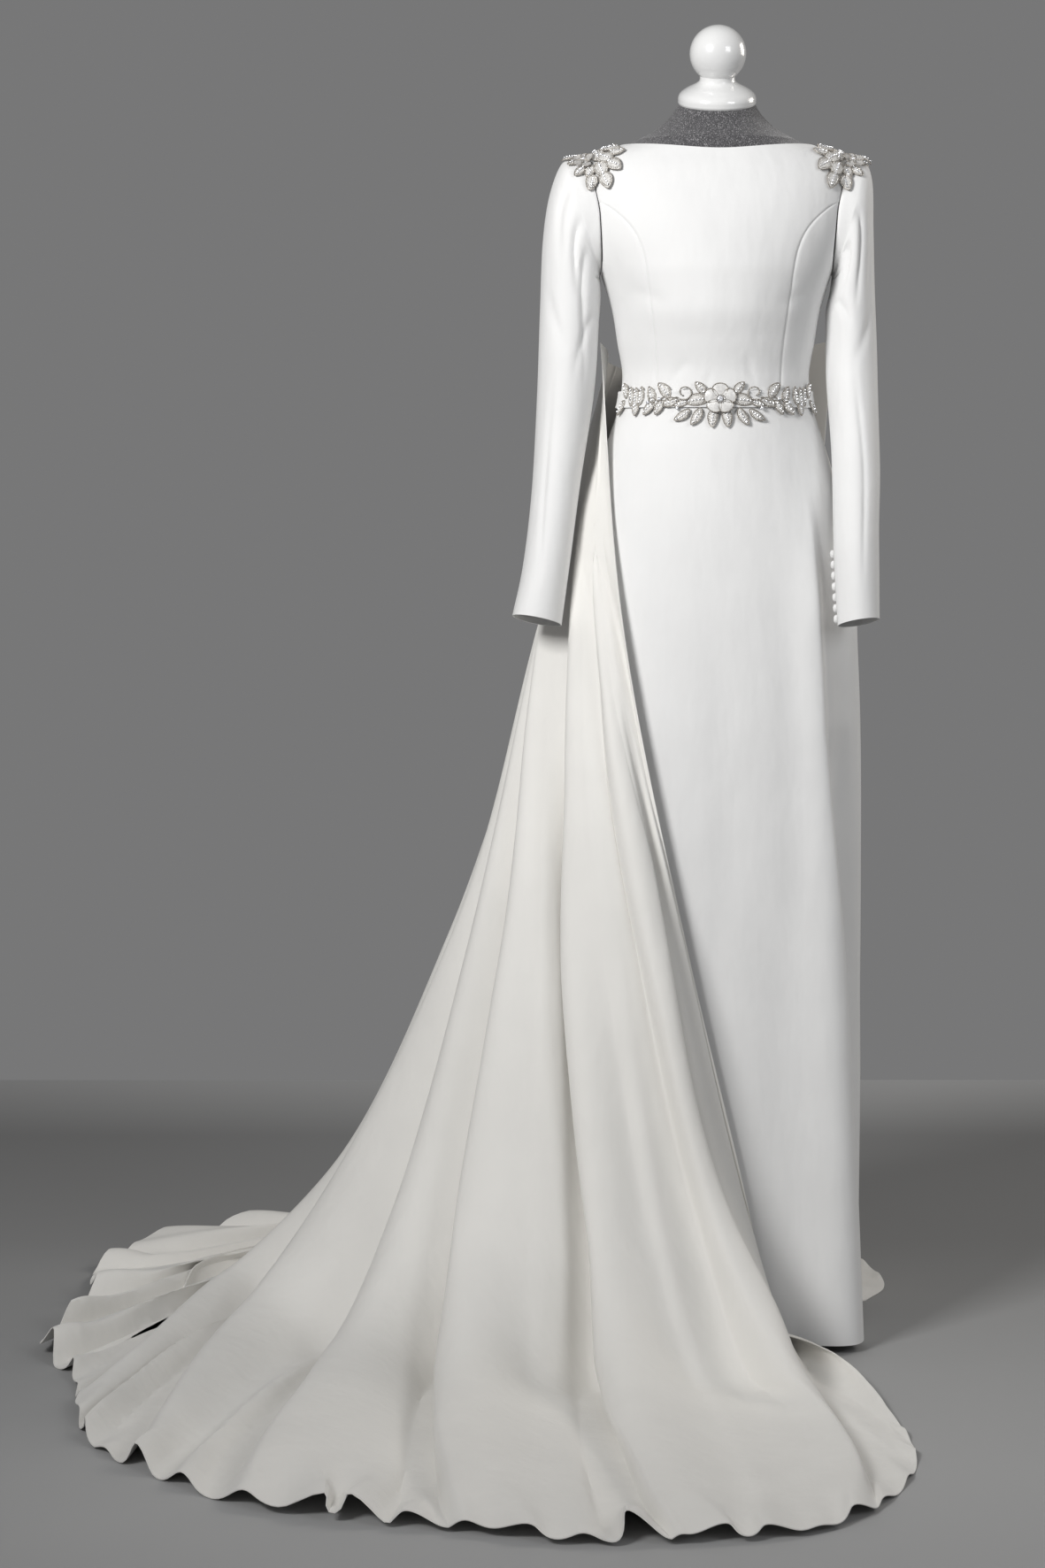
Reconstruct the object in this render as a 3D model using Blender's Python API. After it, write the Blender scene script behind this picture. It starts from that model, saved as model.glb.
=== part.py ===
"""A long-sleeved wedding dress with an overskirt and train, on a limbless dress form.

Metres, +Z up. The origin is on the floor, under the middle of the form's base. The front faces -Y.
Left and right are those of someone who looks at the front. Angles are polar, in degrees about the Z axis:
0 is the right side, -90 the front, 90 the back. Cloth is a wall round a middle surface.
"""

import math

import bpy
import bmesh
from mathutils import Vector
from mathutils.bvhtree import BVHTree

# ---------------------------------------------------------------- driving sizes

CLOTH = 0.0016  # thickness of a cloth wall
SEAM = 0.0003  # gap between two pieces at a seam
WAIST_Z = 1.090
NECKLINE_Z = 1.384  # at the ends of the neckline, on the shoulders
NECKLINE_DIP = 0.008  # how far its middle, front and back, hangs lower
NECKLINE_DIP_FROM_Z = 1.340
HEM_Z = 0.010
UNDERARM_Z = 1.235
SHOULDER_Z = 1.370  # top of the armhole
PRINCESS_TOP_Z = 1.3145
ARMHOLE_HALF_DEPTH = 0.052
FLOOR_Z = 0.0

# The dress's middle surface: a rounded oval at each height.
BODY_COLUMNS = ("z", "half_width", "front", "back", "squareness")
BODY = (
    (0.010, 0.174, 0.186, 0.128, 2.9),
    (0.200, 0.175, 0.166, 0.127, 2.8),
    (0.500, 0.174, 0.143, 0.126, 2.6),
    (0.800, 0.169, 0.123, 0.125, 2.3),
    (0.880, 0.164, 0.117, 0.123, 2.2),
    (0.950, 0.153, 0.110, 0.115, 2.1),
    (1.030, 0.130, 0.098, 0.098, 2.0),
    (1.090, 0.1115, 0.088, 0.082, 2.0),
    (1.118, 0.1085, 0.088, 0.080, 2.0),
    (1.157, 0.1145, 0.096, 0.081, 2.0),
    (1.195, 0.121, 0.106, 0.084, 2.0),
    (1.235, 0.1335, 0.107, 0.089, 2.1),
    (1.250, 0.139, 0.105, 0.091, 2.15),
    (1.300, 0.156, 0.096, 0.093, 2.2),
    (1.335, 0.163, 0.085, 0.086, 2.2),
    (1.358, 0.157, 0.075, 0.077, 2.15),
    (1.370, 0.148, 0.068, 0.069, 2.1),
    (1.384, 0.112, 0.062, 0.060, 2.0),
)

# Soft upright folds of the skirt, from the hip to the hem.
FLUTE_COLUMNS = ("hip_deg", "hem_deg", "height", "width_deg")
FLUTES = (
    (-42, -49, 0.034, 10),
    (-22, -20, -0.008, 10),
    (-140, -143, 0.010, 9),
    (-157, -162, -0.005, 10),
    (40, 36, 0.008, 12),
    (64, 62, -0.005, 10),
    (118, 120, -0.005, 10),
    (140, 143, 0.008, 12),
)
FLUTE_TOP_Z = 0.92

# Half width of the centre front panel at its princess seam.
PRINCESS_COLUMNS = ("z", "x")
PRINCESS = (
    (1.090, 0.0715),
    (1.137, 0.0725),
    (1.177, 0.0765),
    (1.209, 0.0810),
    (1.237, 0.0845),
    (1.262, 0.0900),
    (1.279, 0.0975),
    (1.294, 0.1090),
    (1.305, 0.1210),
    (1.3145, 0.1335),
)
BODICE_ROWS_Z = (1.118, 1.150, 1.182, 1.210, 1.235, 1.252, 1.272, 1.294, 1.3145, 1.345, 1.360, 1.370, 1.3785)
BODICE_FRONT_COLUMNS = 12
BODICE_SIDE_COLUMNS = 5
BODICE_BACK_COLUMNS = 8
SKIRT_FRONT_COLUMNS = 26
SKIRT_BACK_COLUMNS = 9
SKIRT_ROWS_Z = (1.060, 1.025, 0.985, 0.940, 0.880, 0.780, 0.640, 0.480, 0.300, 0.140, 0.010)

# A sleeve's sections, from the armhole to the cuff: the points on its outer and its inner line.
SLEEVE_COLUMNS = ("outer_x", "outer_z", "inner_x", "inner_z", "half_depth", "middle_y")
SLEEVE_RIGHT = (
    (0.1490, 1.3700, 0.1350, 1.2370, 0.0520, 0.000),
    (0.1700, 1.3670, 0.1360, 1.2345, 0.0540, 0.000),
    (0.1805, 1.3400, 0.1355, 1.2290, 0.0550, 0.000),
    (0.1820, 1.2880, 0.1335, 1.2150, 0.0530, -0.001),
    (0.1840, 1.2200, 0.1285, 1.1850, 0.0490, -0.003),
    (0.1870, 1.1300, 0.1285, 1.1250, 0.0455, -0.012),
    (0.1867, 1.0200, 0.1325, 1.0200, 0.0420, -0.054),
    (0.1820, 0.9300, 0.1310, 0.9300, 0.0370, -0.098),
    (0.1815, 0.8390, 0.1350, 0.8320, 0.0300, -0.118),
)
SLEEVE_LEFT = (
    (0.1490, 1.3700, 0.1350, 1.2370, 0.0520, 0.000),
    (0.1750, 1.3670, 0.1360, 1.2345, 0.0540, 0.000),
    (0.1925, 1.3320, 0.1355, 1.2290, 0.0550, 0.000),
    (0.2015, 1.2750, 0.1345, 1.2150, 0.0530, -0.001),
    (0.2050, 1.1900, 0.1370, 1.1800, 0.0490, -0.003),
    (0.2085, 1.0900, 0.1425, 1.1000, 0.0455, -0.010),
    (0.2145, 0.9850, 0.1585, 0.9950, 0.0420, -0.024),
    (0.2245, 0.9000, 0.1700, 0.9100, 0.0370, -0.045),
    (0.2370, 0.8410, 0.1810, 0.8300, 0.0300, -0.065),
)
SLEEVE_AROUND = 18
SLEEVE_ROWS = 13
SLEEVE_EDGE = 0.14  # share of the sleeve over which it turns from the armhole's edge
SLEEVE_CROWDING = 0.55  # how far its rows are drawn up towards the cap
UNDERARM_RISE = 0.03
ARMHOLE_CLEAR = 0.0010  # from the bodice's edge to the sleeve's
UNDERARM_CLEAR = 0.0014  # more where the sleeve turns down beside the bodice
CUFF_LEAN = 0.18  # the cuff is square to the forward-leaning sleeve, so its back edge is the lower one
CUFF_LEAN_FROM = 0.6  # share of the way down where the sleeve starts to lean

BUTTONS = 7
BUTTON_RADIUS = 0.0048
BUTTON_HEIGHT = 0.0042
BUTTON_SIDES = 9
BUTTON_RINGS = (0.0, 0.65)  # shares of its height
BUTTON_STEP = 0.0125
BUTTON_LOWEST = 0.008  # above the cuff's inner edge
BUTTON_TURNS = {"right": 188, "left": 215}  # round the sleeve from its outer line; its inner line is at 180

# The overskirt: each row is a fold's crest or valley, followed from the waist to the hem.
# Angle and radius where it passes the hip, knee and shin heights, where it meets the floor, and at the hem.
TRAIN_COLUMNS = (
    "waist_deg", "hip_deg", "hip_r", "knee_deg", "knee_r", "shin_deg", "shin_r",
    "foot_deg", "foot_r", "hem_deg", "hem_r", "ridge",
)
TRAIN = (
    (-181, -135, 0.160, -102, 0.168, -79, 0.190, -75, 0.216, -74, 0.226, 0.028),
    (-183, -138, 0.160, -104, 0.175, -80, 0.190, -68, 0.235, -66, 0.330, 0.006),
    (-185, -141, 0.162, -106, 0.188, -83, 0.215, -70, 0.300, -70, 0.500, 0.000),
    (-187, -144, 0.164, -107, 0.204, -86, 0.245, -74, 0.360, -74, 0.640, 0.004),
    (-189, -147, 0.168, -109, 0.219, -89, 0.280, -79, 0.430, -80, 0.765, 0.026),
    (-192, -151, 0.161, -116, 0.204, -96, 0.263, -85, 0.400, -85, 0.840, 0.000),
    (-196, -157, 0.170, -125, 0.226, -106, 0.293, -95, 0.420, -89, 0.870, 0.008),
    (-200, -162, 0.176, -133.5, 0.239, -115, 0.316, -105, 0.440, -93, 0.880, 0.030),
    (-203, -168, 0.170, -139.5, 0.222, -121, 0.297, -111, 0.410, -97, 0.895, 0.000),
    (-206, -177, 0.181, -145.5, 0.247, -130, 0.338, -118.5, 0.455, -102, 0.905, 0.010),
    (-209, -181, 0.199, -151.5, 0.270, -139.5, 0.365, -125.5, 0.490, -107.5, 0.895, 0.032),
    (-213, -186, 0.196, -157, 0.255, -146, 0.352, -133, 0.475, -113, 0.905, 0.000),
    (-217, -191, 0.204, -165, 0.286, -154.5, 0.388, -142, 0.515, -122, 0.915, 0.030),
    (-221, -197, 0.203, -173, 0.276, -163, 0.390, -151, 0.510, -131, 0.895, 0.000),
    (-225, -202, 0.214, -183, 0.302, -177, 0.442, -169, 0.545, -140, 0.875, 0.028),
    (-229, -208, 0.210, -190, 0.292, -185, 0.425, -179, 0.530, -148, 0.830, 0.000),
    (-233, -214, 0.222, -197, 0.318, -193, 0.458, -188, 0.590, -158, 0.785, 0.024),
    (-237, -221, 0.216, -205, 0.298, -202, 0.435, -198, 0.555, -167, 0.800, 0.000),
    (-241, -228, 0.224, -213, 0.318, -211, 0.465, -208, 0.605, -176, 0.765, 0.024),
    (-246, -235, 0.216, -221, 0.290, -220, 0.420, -218, 0.545, -186, 0.760, 0.000),
    (-251, -242, 0.222, -230, 0.306, -229, 0.440, -228, 0.585, -197, 0.800, 0.022),
    (-257, -250, 0.210, -239, 0.272, -239, 0.385, -239, 0.495, -209, 0.800, 0.000),
    (-264, -258, 0.210, -249, 0.280, -250, 0.390, -250, 0.510, -220, 0.775, 0.022),
    (-272, -266, 0.197, -260, 0.240, -261, 0.325, -262, 0.415, -236, 0.670, 0.000),
    (-280, -275, 0.198, -271, 0.246, -273, 0.325, -275, 0.420, -256, 0.590, 0.020),
    (-288, -285, 0.184, -283, 0.210, -287, 0.258, -290, 0.315, -277, 0.490, 0.000),
    (-297, -295, 0.184, -295, 0.214, -300, 0.254, -304, 0.300, -298, 0.385, 0.018),
    (-308, -305, 0.172, -307, 0.186, -313, 0.206, -317, 0.232, -314, 0.316, 0.000),
    (-320, -313, 0.172, -318, 0.186, -325, 0.200, -329, 0.218, -328, 0.262, 0.010),
    (-333, -320, 0.168, -327, 0.178, -334, 0.186, -339, 0.192, -340, 0.204, 0.000),
)
# Share of the way down at the waist, hip, knee and shin, where it meets the floor, and at the hem.
TRAIN_LEVELS = (0.0, 0.20, 0.45, 0.63, 0.76, 1.0)
HIP_Z = 0.85
KNEE_Z = 0.45
SHIN_Z = 0.15
# The overskirt's top edge: how far it stands from the bodice, and its height.
HEADING_COLUMNS = ("deg", "stand_off", "z")
HEADING = (
    (-333, 0.055, 1.162),
    (-320, 0.046, 1.155),
    (-306, 0.030, 1.146),
    (-292, 0.010, 1.138),
    (-281, 0.0019, 1.134),
    (-259, 0.0019, 1.131),
    (-248, 0.010, 1.129),
    (-236, 0.024, 1.128),
    (-220, 0.040, 1.129),
    (-207, 0.038, 1.136),
    (-199, 0.025, 1.143),
    (-190, 0.018, 1.151),
    (-181, 0.020, 1.157),
)
TRAIN_JOIN_Z = 1.120  # above it the middle of the heading is sewn to the bodice
TRAIN_OVER_BELT = 0.0044  # the least distance from the body's middle surface, round the belt
TRAIN_OVER_SKIRT = 0.0070
CORNER_WIDTH = 2.6  # in rows of the table
HEM_WAVE_FROM = 0.86  # share of the way down where the ruffle begins
HEM_CALM_FRONT = 2.0  # rows over which it begins at the front edge
HEM_CALM_BACK = 24.0  # the row from which it is smaller
HEM_CALM = 0.6
CORNER_LIFT = 0.034  # height of the overskirt's front corner, which hangs clear of the floor
HEM_WAVES = 33
HEM_UNEVEN = ((3.3, 2.2), (8.1, 1.25))  # slow waves that move the small ones: how many, and how far
HEM_WAVE_SIZES = (5.2, 0.75, 0.35)  # slow waves of their size: how many, the mean and the change
HEM_WAVE_OUT = 0.008
HEM_WAVE_UP = 0.011
TRAIN_UPPER_V = (0.0, 0.06, 0.12, 0.19, 0.28, 0.38)
TRAIN_LOWER_V = (0.48, 0.57, 0.65, 0.72, 0.78, 0.84, 0.90, 0.955, 1.0)
TRAIN_UPPER_STEPS = 2  # columns between two rows of the table
TRAIN_LOWER_STEPS = 4
GORES = (("train_front", 0, 11), ("train_left", 11, 18), ("train_back", 18, 24), ("train_right", 24, 29))

BELT_HALF_HEIGHT = 0.0175
BELT_RIBBON = 0.0016
BELT_GAP = 0.0013
BELT_FRONT_COLUMNS = 50
BELT_BACK_COLUMNS = 18
BELT_ROWS = 5
# Raised leaves of the belt on one side of its middle: place of the leaf's middle, half sizes, lean.
BELT_LEAF_COLUMNS = ("x", "z", "half_length", "half_width", "lean_deg", "height")
BELT_LEAVES = (
    (0.026, 0.000, 0.012, 0.0075, 5, 0.0042),
    (0.021, 0.0125, 0.009, 0.0060, 40, 0.0034),
    (0.038, 0.007, 0.009, 0.0085, 0, 0.0032),
    (0.0385, -0.022, 0.009, 0.0048, 60, 0.0030),
    (0.024, -0.021, 0.010, 0.0052, 75, 0.0032),
    (0.0075, -0.022, 0.010, 0.0055, 90, 0.0032),
    (0.0585, 0.0105, 0.011, 0.0070, 35, 0.0036),
    (0.055, -0.006, 0.011, 0.0065, -20, 0.0036),
    (0.076, 0.003, 0.010, 0.0062, 10, 0.0034),
    (0.068, -0.0110, 0.009, 0.0055, -50, 0.0032),
    (0.079, -0.0110, 0.009, 0.0055, -60, 0.0032),
    (0.092, 0.000, 0.0085, 0.0140, 0, 0.0040),
    (0.103, 0.0115, 0.010, 0.0065, 60, 0.0034),
    (0.106, -0.0100, 0.010, 0.0065, -60, 0.0034),
)
FLOWER_RADIUS = 0.0175
FLOWER_HEIGHT = 0.0052
FLOWER_PETALS = 5

# Shoulder applique: place across the shoulder, and along the way over it, front to back.
APPLIQUE_MIDDLE_X = 0.146
APPLIQUE_FRONT = 0.084
APPLIQUE_BACK = 0.046
APPLIQUE_INNER = 0.026
APPLIQUE_OUTER = 0.037
APPLIQUE_BASE = 0.0012
APPLIQUE_CLEAR = 0.0010
APPLIQUE_LOBES = 11
APPLIQUE_LOBE = 0.10
APPLIQUE_SPOKES = 30
APPLIQUE_RINGS = 5
OVER_SHOULDER_RADIUS = 0.060  # of the way from front to back over the shoulder
OVER_SHOULDER_Z = 1.325
PROBE = 0.0035  # from a point of the applique to the places where the cloth's height is taken
OVER_SHOULDER_X = 0.150  # further out the applique follows the sleeve's cap down
APPLIQUE_LEAF_COLUMNS = ("x", "along", "half_length", "half_width", "lean_deg", "height")
APPLIQUE_LEAVES = (
    (-0.017, 0.034, 0.012, 0.0070, 150, 0.0032),
    (-0.012, 0.054, 0.012, 0.0065, 120, 0.0034),
    (-0.004, 0.070, 0.013, 0.0070, 100, 0.0034),
    (0.012, 0.070, 0.013, 0.0070, 75, 0.0034),
    (0.004, 0.050, 0.012, 0.0070, 80, 0.0036),
    (-0.006, 0.014, 0.011, 0.0070, 120, 0.0036),
    (0.010, 0.030, 0.014, 0.0120, 60, 0.0036),
    (0.024, 0.014, 0.011, 0.0065, 30, 0.0032),
    (-0.024, -0.008, 0.011, 0.0065, 200, 0.0032),
    (0.000, -0.006, 0.012, 0.0085, 0, 0.0040),
    (0.022, -0.008, 0.011, 0.0065, -20, 0.0032),
    (-0.010, -0.026, 0.011, 0.0065, 250, 0.0032),
    (0.010, -0.030, 0.011, 0.0065, -70, 0.0032),
)

# The dress form.
FORM_BOTTOM_Z = 0.720
FORM_GAP = 0.0021  # from the cloth's middle surface to the form at shoulders and waist
FORM_SLACK = 0.0035  # more at bust, hip and under the arms
FORM_AROUND = 24
FORM_ROWS_Z = (0.720, 0.880, 0.950, 1.025, 1.090, 1.118, 1.165, 1.210, 1.235, 1.272, 1.3145, 1.345, 1.360,
               1.370, 1.3785, 1.384)
NECK_COLUMNS = ("z", "half_width", "front", "back")
NECK = (
    (1.3905, 0.0930, 0.0580, 0.0560),
    (1.3990, 0.0770, 0.0540, 0.0520),
    (1.4095, 0.0620, 0.0500, 0.0490),
    (1.4205, 0.0515, 0.0465, 0.0465),
    (1.4320, 0.0445, 0.0440, 0.0440),
)
NECK_TILT = math.radians(16)  # the top of the neck slopes down to the front
CAP_COLUMNS = ("radius", "height")
CAP = (
    (0.0445, 0.0000),
    (0.0455, 0.0025),
    (0.0455, 0.0060),
    (0.0430, 0.0125),
    (0.0350, 0.0185),
    (0.0260, 0.0230),
    (0.0215, 0.0262),
    (0.0205, 0.0290),
)
BALL_RADIUS = 0.0328
BALL_MIDDLE = 0.0580
BALL_FLAT = 0.0025  # radius of the small flat on the ball's top
CAP_AROUND = 22
BALL_ROWS = 8
POLE_RADIUS = 0.014
POLE_AROUND = 16
BASE_COLUMNS = ("radius", "height")
BASE = (
    (0.105, 0.000),
    (0.105, 0.006),
    (0.100, 0.009),
    (0.045, 0.012),
    (0.028, 0.018),
    (0.022, 0.030),
)
BASE_AROUND = 32

# ---------------------------------------------------------------- materials

CREPE = ("crepe", (0.86, 0.85, 0.82), 0.55, 0.0)
APPLIQUE = ("silver_beading", (0.62, 0.61, 0.59), 0.30, 0.7)
JERSEY = ("form_jersey", (0.10, 0.10, 0.11), 0.90, 0.0)
GLOSS = ("cap_gloss", (0.84, 0.84, 0.82), 0.15, 0.0)
METAL = ("stand_metal", (0.08, 0.08, 0.09), 0.35, 0.8)


def material(spec):
    name, colour, roughness, metallic = spec
    made = bpy.data.materials.get(name) or bpy.data.materials.new(name)
    made.use_nodes = True
    shader = made.node_tree.nodes["Principled BSDF"]
    shader.inputs["Base Color"].default_value = (*colour, 1.0)
    shader.inputs["Roughness"].default_value = roughness
    shader.inputs["Metallic"].default_value = metallic
    return made


# ---------------------------------------------------------------- curves through table rows


def through(xs, ys, limited=True):
    """A smooth function through the points; limited keeps it from overshooting them."""
    steps = [b - a for a, b in zip(xs, xs[1:])]
    slopes = [(d - c) / h for c, d, h in zip(ys, ys[1:], steps)]
    tangents = [slopes[0]]
    for i in range(1, len(slopes)):
        before, after = steps[i - 1], steps[i]
        tangent = (slopes[i - 1] * after + slopes[i] * before) / (before + after)
        if limited:
            if slopes[i - 1] * slopes[i] <= 0:
                tangent = 0.0
            else:
                most = 3 * min(abs(slopes[i - 1]), abs(slopes[i]))
                tangent = math.copysign(min(abs(tangent), most), tangent)
        tangents.append(tangent)
    tangents.append(slopes[-1])

    def value(x):
        i = 0
        while i < len(steps) - 1 and x > xs[i + 1]:
            i += 1
        h = steps[i]
        t = min(max((x - xs[i]) / h, 0.0), 1.0)
        return (
            (1 + 2 * t) * (1 - t) ** 2 * ys[i]
            + t * (1 - t) ** 2 * h * tangents[i]
            + t * t * (3 - 2 * t) * ys[i + 1]
            + t * t * (t - 1) * h * tangents[i + 1]
        )

    return value


def columns_of(table, names, by):
    """For each named column, a smooth function of the column that the table is ordered by."""
    first = [row[names.index(by)] for row in table]
    return {
        name: through(first, [row[names.index(name)] for row in table])
        for name in names
        if name != by
    }


def ramp(x, start, end):
    """0 at start, 1 at end, smooth between."""
    t = min(max((x - start) / (end - start), 0.0), 1.0)
    return t * t * (3 - 2 * t)


def polar(deg, radius, z=0.0):
    return Vector((radius * math.cos(math.radians(deg)), radius * math.sin(math.radians(deg)), z))


# ---------------------------------------------------------------- the body's surface

body = columns_of(BODY, BODY_COLUMNS, "z")


def flute(deg, z):
    """How far the skirt's folds move its surface out."""
    deep = min(max((FLUTE_TOP_Z - z) / FLUTE_TOP_Z, 0.0), 1.0) ** 1.2
    out = 0.0
    for hip_deg, hem_deg, height, width in FLUTES:
        away = (deg - (hip_deg + (hem_deg - hip_deg) * deep) + 180) % 360 - 180
        out += height * deep * math.exp(-((away / width) ** 2))
    return out


def body_radius(deg, z):
    across = abs(math.cos(math.radians(deg))) / body["half_width"](z)
    sine = math.sin(math.radians(deg))
    along = abs(sine) / body["front" if sine < 0 else "back"](z)
    power = body["squareness"](z)
    return (across**power + along**power) ** (-1 / power) + flute(deg, z)


def body_point(deg, z):
    return polar(deg, body_radius(deg, z), z)


def neckline_dip(deg, z):
    return NECKLINE_DIP * ramp(z, NECKLINE_DIP_FROM_Z, NECKLINE_Z) * math.sin(math.radians(deg)) ** 2


def body_deg(x, z):
    """The angle, on the front, of the body's point with this x."""
    power = body["squareness"](z)
    y = body["front"](z) * (1 - (abs(x) / body["half_width"](z)) ** power) ** (1 / power)
    return math.degrees(math.atan2(-y, x))


def armhole_depth(z):
    """Half the armhole's depth at this height, 0 above and below it."""
    middle = (SHOULDER_Z + UNDERARM_Z) / 2
    share = (z - middle) / (SHOULDER_Z - middle)
    return ARMHOLE_HALF_DEPTH * math.sqrt(max(1 - share * share, 0.0))


def armhole_x(z, back=False):
    power = body["squareness"](z)
    depth = body["back" if back else "front"](z)
    return body["half_width"](z) * (1 - (armhole_depth(z) / depth) ** power) ** (1 / power)


def side_deg(z, back=False):
    """How far from the side (0 degrees) a panel's edge lies: 0 but for the armhole."""
    return math.degrees(math.atan2(armhole_depth(z), armhole_x(z, back)))


princess_x = columns_of(PRINCESS, PRINCESS_COLUMNS, "z")["x"]


def princess_deg(z):
    """The right princess seam; above its top, the armhole's edge."""
    if z > PRINCESS_TOP_Z + SEAM:
        return -side_deg(z)
    return body_deg(princess_x(z), z)


# ---------------------------------------------------------------- walls of cloth

STEP = 1e-3  # in a surface's own terms, for its slopes
STEP_DEG = 0.1
SAME = 1e-6
SMOOTH_UNDER_DEG = 50


def outward(surface, u, v, sign=1.0, step_u=STEP):
    """The surface's unit normal, from four points round this one."""
    across = surface(u + step_u, v) - surface(u - step_u, v)
    along = surface(u, v + STEP) - surface(u, v - STEP)
    return across.cross(along).normalized() * sign


def row_of(surface, us, v, sign=1.0, side_gap=SEAM / 2, step_u=STEP):
    """One row of a wall: (u, outer point, inner point), with the ends drawn in by half a seam's gap."""
    middles = [surface(u, v) for u in us]
    normals = [outward(surface, u, v, sign, step_u) * (CLOTH / 2) for u in us]
    if side_gap:
        middles[0] = middles[0] + (middles[1] - middles[0]).normalized() * side_gap
        middles[-1] = middles[-1] + (middles[-2] - middles[-1]).normalized() * side_gap
    return [(u, middle + normal, middle - normal) for u, middle, normal in zip(us, middles, normals)]


def zip_rows(mesh, first, second):
    """Triangles between two rows of (u, vertex), which may differ in number."""
    i = j = 0
    while i < len(first) - 1 or j < len(second) - 1:
        second_done = j == len(second) - 1
        step_first = second_done or (i < len(first) - 1 and first[i + 1][0] <= second[j + 1][0] + SAME)
        if step_first:
            mesh.faces.new((first[i][1], first[i + 1][1], second[j][1]))
            i += 1
        else:
            mesh.faces.new((second[j + 1][1], second[j][1], first[i][1]))
            j += 1


def finish(name, mesh, spec):
    """The mesh as a named object, its faces pointing out."""
    bmesh.ops.recalc_face_normals(mesh, faces=mesh.faces)
    if mesh.calc_volume(signed=True) < 0:
        bmesh.ops.reverse_faces(mesh, faces=mesh.faces)
    data = bpy.data.meshes.new(name)
    mesh.to_mesh(data)
    mesh.free()
    data.materials.append(material(spec))
    data.shade_smooth()
    data.set_sharp_from_angle(angle=math.radians(SMOOTH_UNDER_DEG))
    made = bpy.data.objects.new(name, data)
    bpy.context.scene.collection.objects.link(made)
    return made


def wall(name, rows, spec, closed=False):
    """A closed solid between the rows' outer and inner points."""
    mesh = bmesh.new()
    sides = []
    for side in (1, 2):
        made = [[(entry[0], mesh.verts.new(entry[side])) for entry in row] for row in rows]
        if closed:
            for row in made:
                row.append((row[0][0] + 360.0, row[0][1]))
        for first, second in zip(made, made[1:]):
            zip_rows(mesh, first, second)
        sides.append(made)
    outer, inner = sides
    rims = [(outer[0], inner[0]), (outer[-1], inner[-1])]
    if not closed:
        rims.append(([row[0] for row in outer], [row[0] for row in inner]))
        rims.append(([row[-1] for row in outer], [row[-1] for row in inner]))
    for edge, other in rims:
        for k in range(len(edge) - 1):
            mesh.faces.new((edge[k][1], edge[k + 1][1], other[k + 1][1], other[k][1]))
    return finish(name, mesh, spec)


def even(start, end, count):
    return [start + (end - start) * i / count for i in range(count + 1)]


# ---------------------------------------------------------------- bodice and skirt


def body_panel(name, left_deg, right_deg, heights, count, spec=CREPE):
    """A panel of the body between two edges, each a function of the height."""

    def surface(u, z):
        z = min(max(z, heights[0]), heights[-1])
        deg = left_deg(z) + (right_deg(z) - left_deg(z)) * u
        return body_point(deg, z - neckline_dip(deg, z))

    return wall(name, [row_of(surface, even(0.0, 1.0, count), z) for z in heights], spec)


def make_bodice():
    low = WAIST_Z + SEAM / 2
    full = (low,) + BODICE_ROWS_Z + (NECKLINE_Z,)
    to_princess = tuple(z for z in full if z <= PRINCESS_TOP_Z)
    side = side_deg
    return [
        body_panel("bodice_front", lambda z: -180 - princess_deg(z), princess_deg, full, BODICE_FRONT_COLUMNS),
        body_panel(
            "bodice_side_front_right",
            princess_deg,
            lambda z: -side(z),
            to_princess,
            BODICE_SIDE_COLUMNS,
        ),
        body_panel(
            "bodice_side_front_left",
            lambda z: side(z) - 180,
            lambda z: -180 - princess_deg(z),
            to_princess,
            BODICE_SIDE_COLUMNS,
        ),
        body_panel("bodice_back_right", lambda z: side(z, True), lambda z: 90, full, BODICE_BACK_COLUMNS),
        body_panel("bodice_back_left", lambda z: 90, lambda z: 180 - side(z, True), full, BODICE_BACK_COLUMNS),
    ]


def make_skirt():
    heights = tuple(sorted(SKIRT_ROWS_Z)) + (WAIST_Z - SEAM / 2,)
    body_panel("skirt_front", lambda z: -180, lambda z: 0, heights, SKIRT_FRONT_COLUMNS)
    body_panel("skirt_back_right", lambda z: 0, lambda z: 90, heights, SKIRT_BACK_COLUMNS)
    body_panel("skirt_back_left", lambda z: 90, lambda z: 180, heights, SKIRT_BACK_COLUMNS)


# ---------------------------------------------------------------- sleeves


def sleeve_surface(table, side):
    """The sleeve's middle surface: turn in degrees from the outer line through the front, share along."""
    shares = even(0.0, 1.0, len(table) - 1)
    line = {
        name: through(shares, [row[i] for row in table])
        for i, name in enumerate(SLEEVE_COLUMNS)
    }

    def surface(turn, share):
        share = min(max(share, 0.0), 1.0)
        outer = Vector((line["outer_x"](share), 0.0, line["outer_z"](share)))
        inner = Vector((line["inner_x"](share), 0.0, line["inner_z"](share)))
        point = (outer + inner) / 2 + (outer - inner) / 2 * math.cos(math.radians(turn))
        to_front = line["half_depth"](share) * math.sin(math.radians(turn))
        point.y = line["middle_y"](share) - to_front
        point.z += CUFF_LEAN * ramp(share, CUFF_LEAN_FROM, 1.0) * to_front
        at_edge = 1 - ramp(share, 0.0, SLEEVE_EDGE)
        if at_edge:
            z = min(max(point.z, UNDERARM_Z), SHOULDER_Z)
            clear = ARMHOLE_CLEAR + UNDERARM_CLEAR * (1 - ramp(z, UNDERARM_Z, UNDERARM_Z + UNDERARM_RISE))
            point.x += at_edge * (armhole_x(z, point.y > 0) + clear - point.x)
        point.x *= side
        return point

    return surface


def sleeve_share(row):
    """Rows lie closer together round the sleeve's cap."""
    share = row / SLEEVE_ROWS
    return (1 - SLEEVE_CROWDING) * share + SLEEVE_CROWDING * share * share


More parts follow.
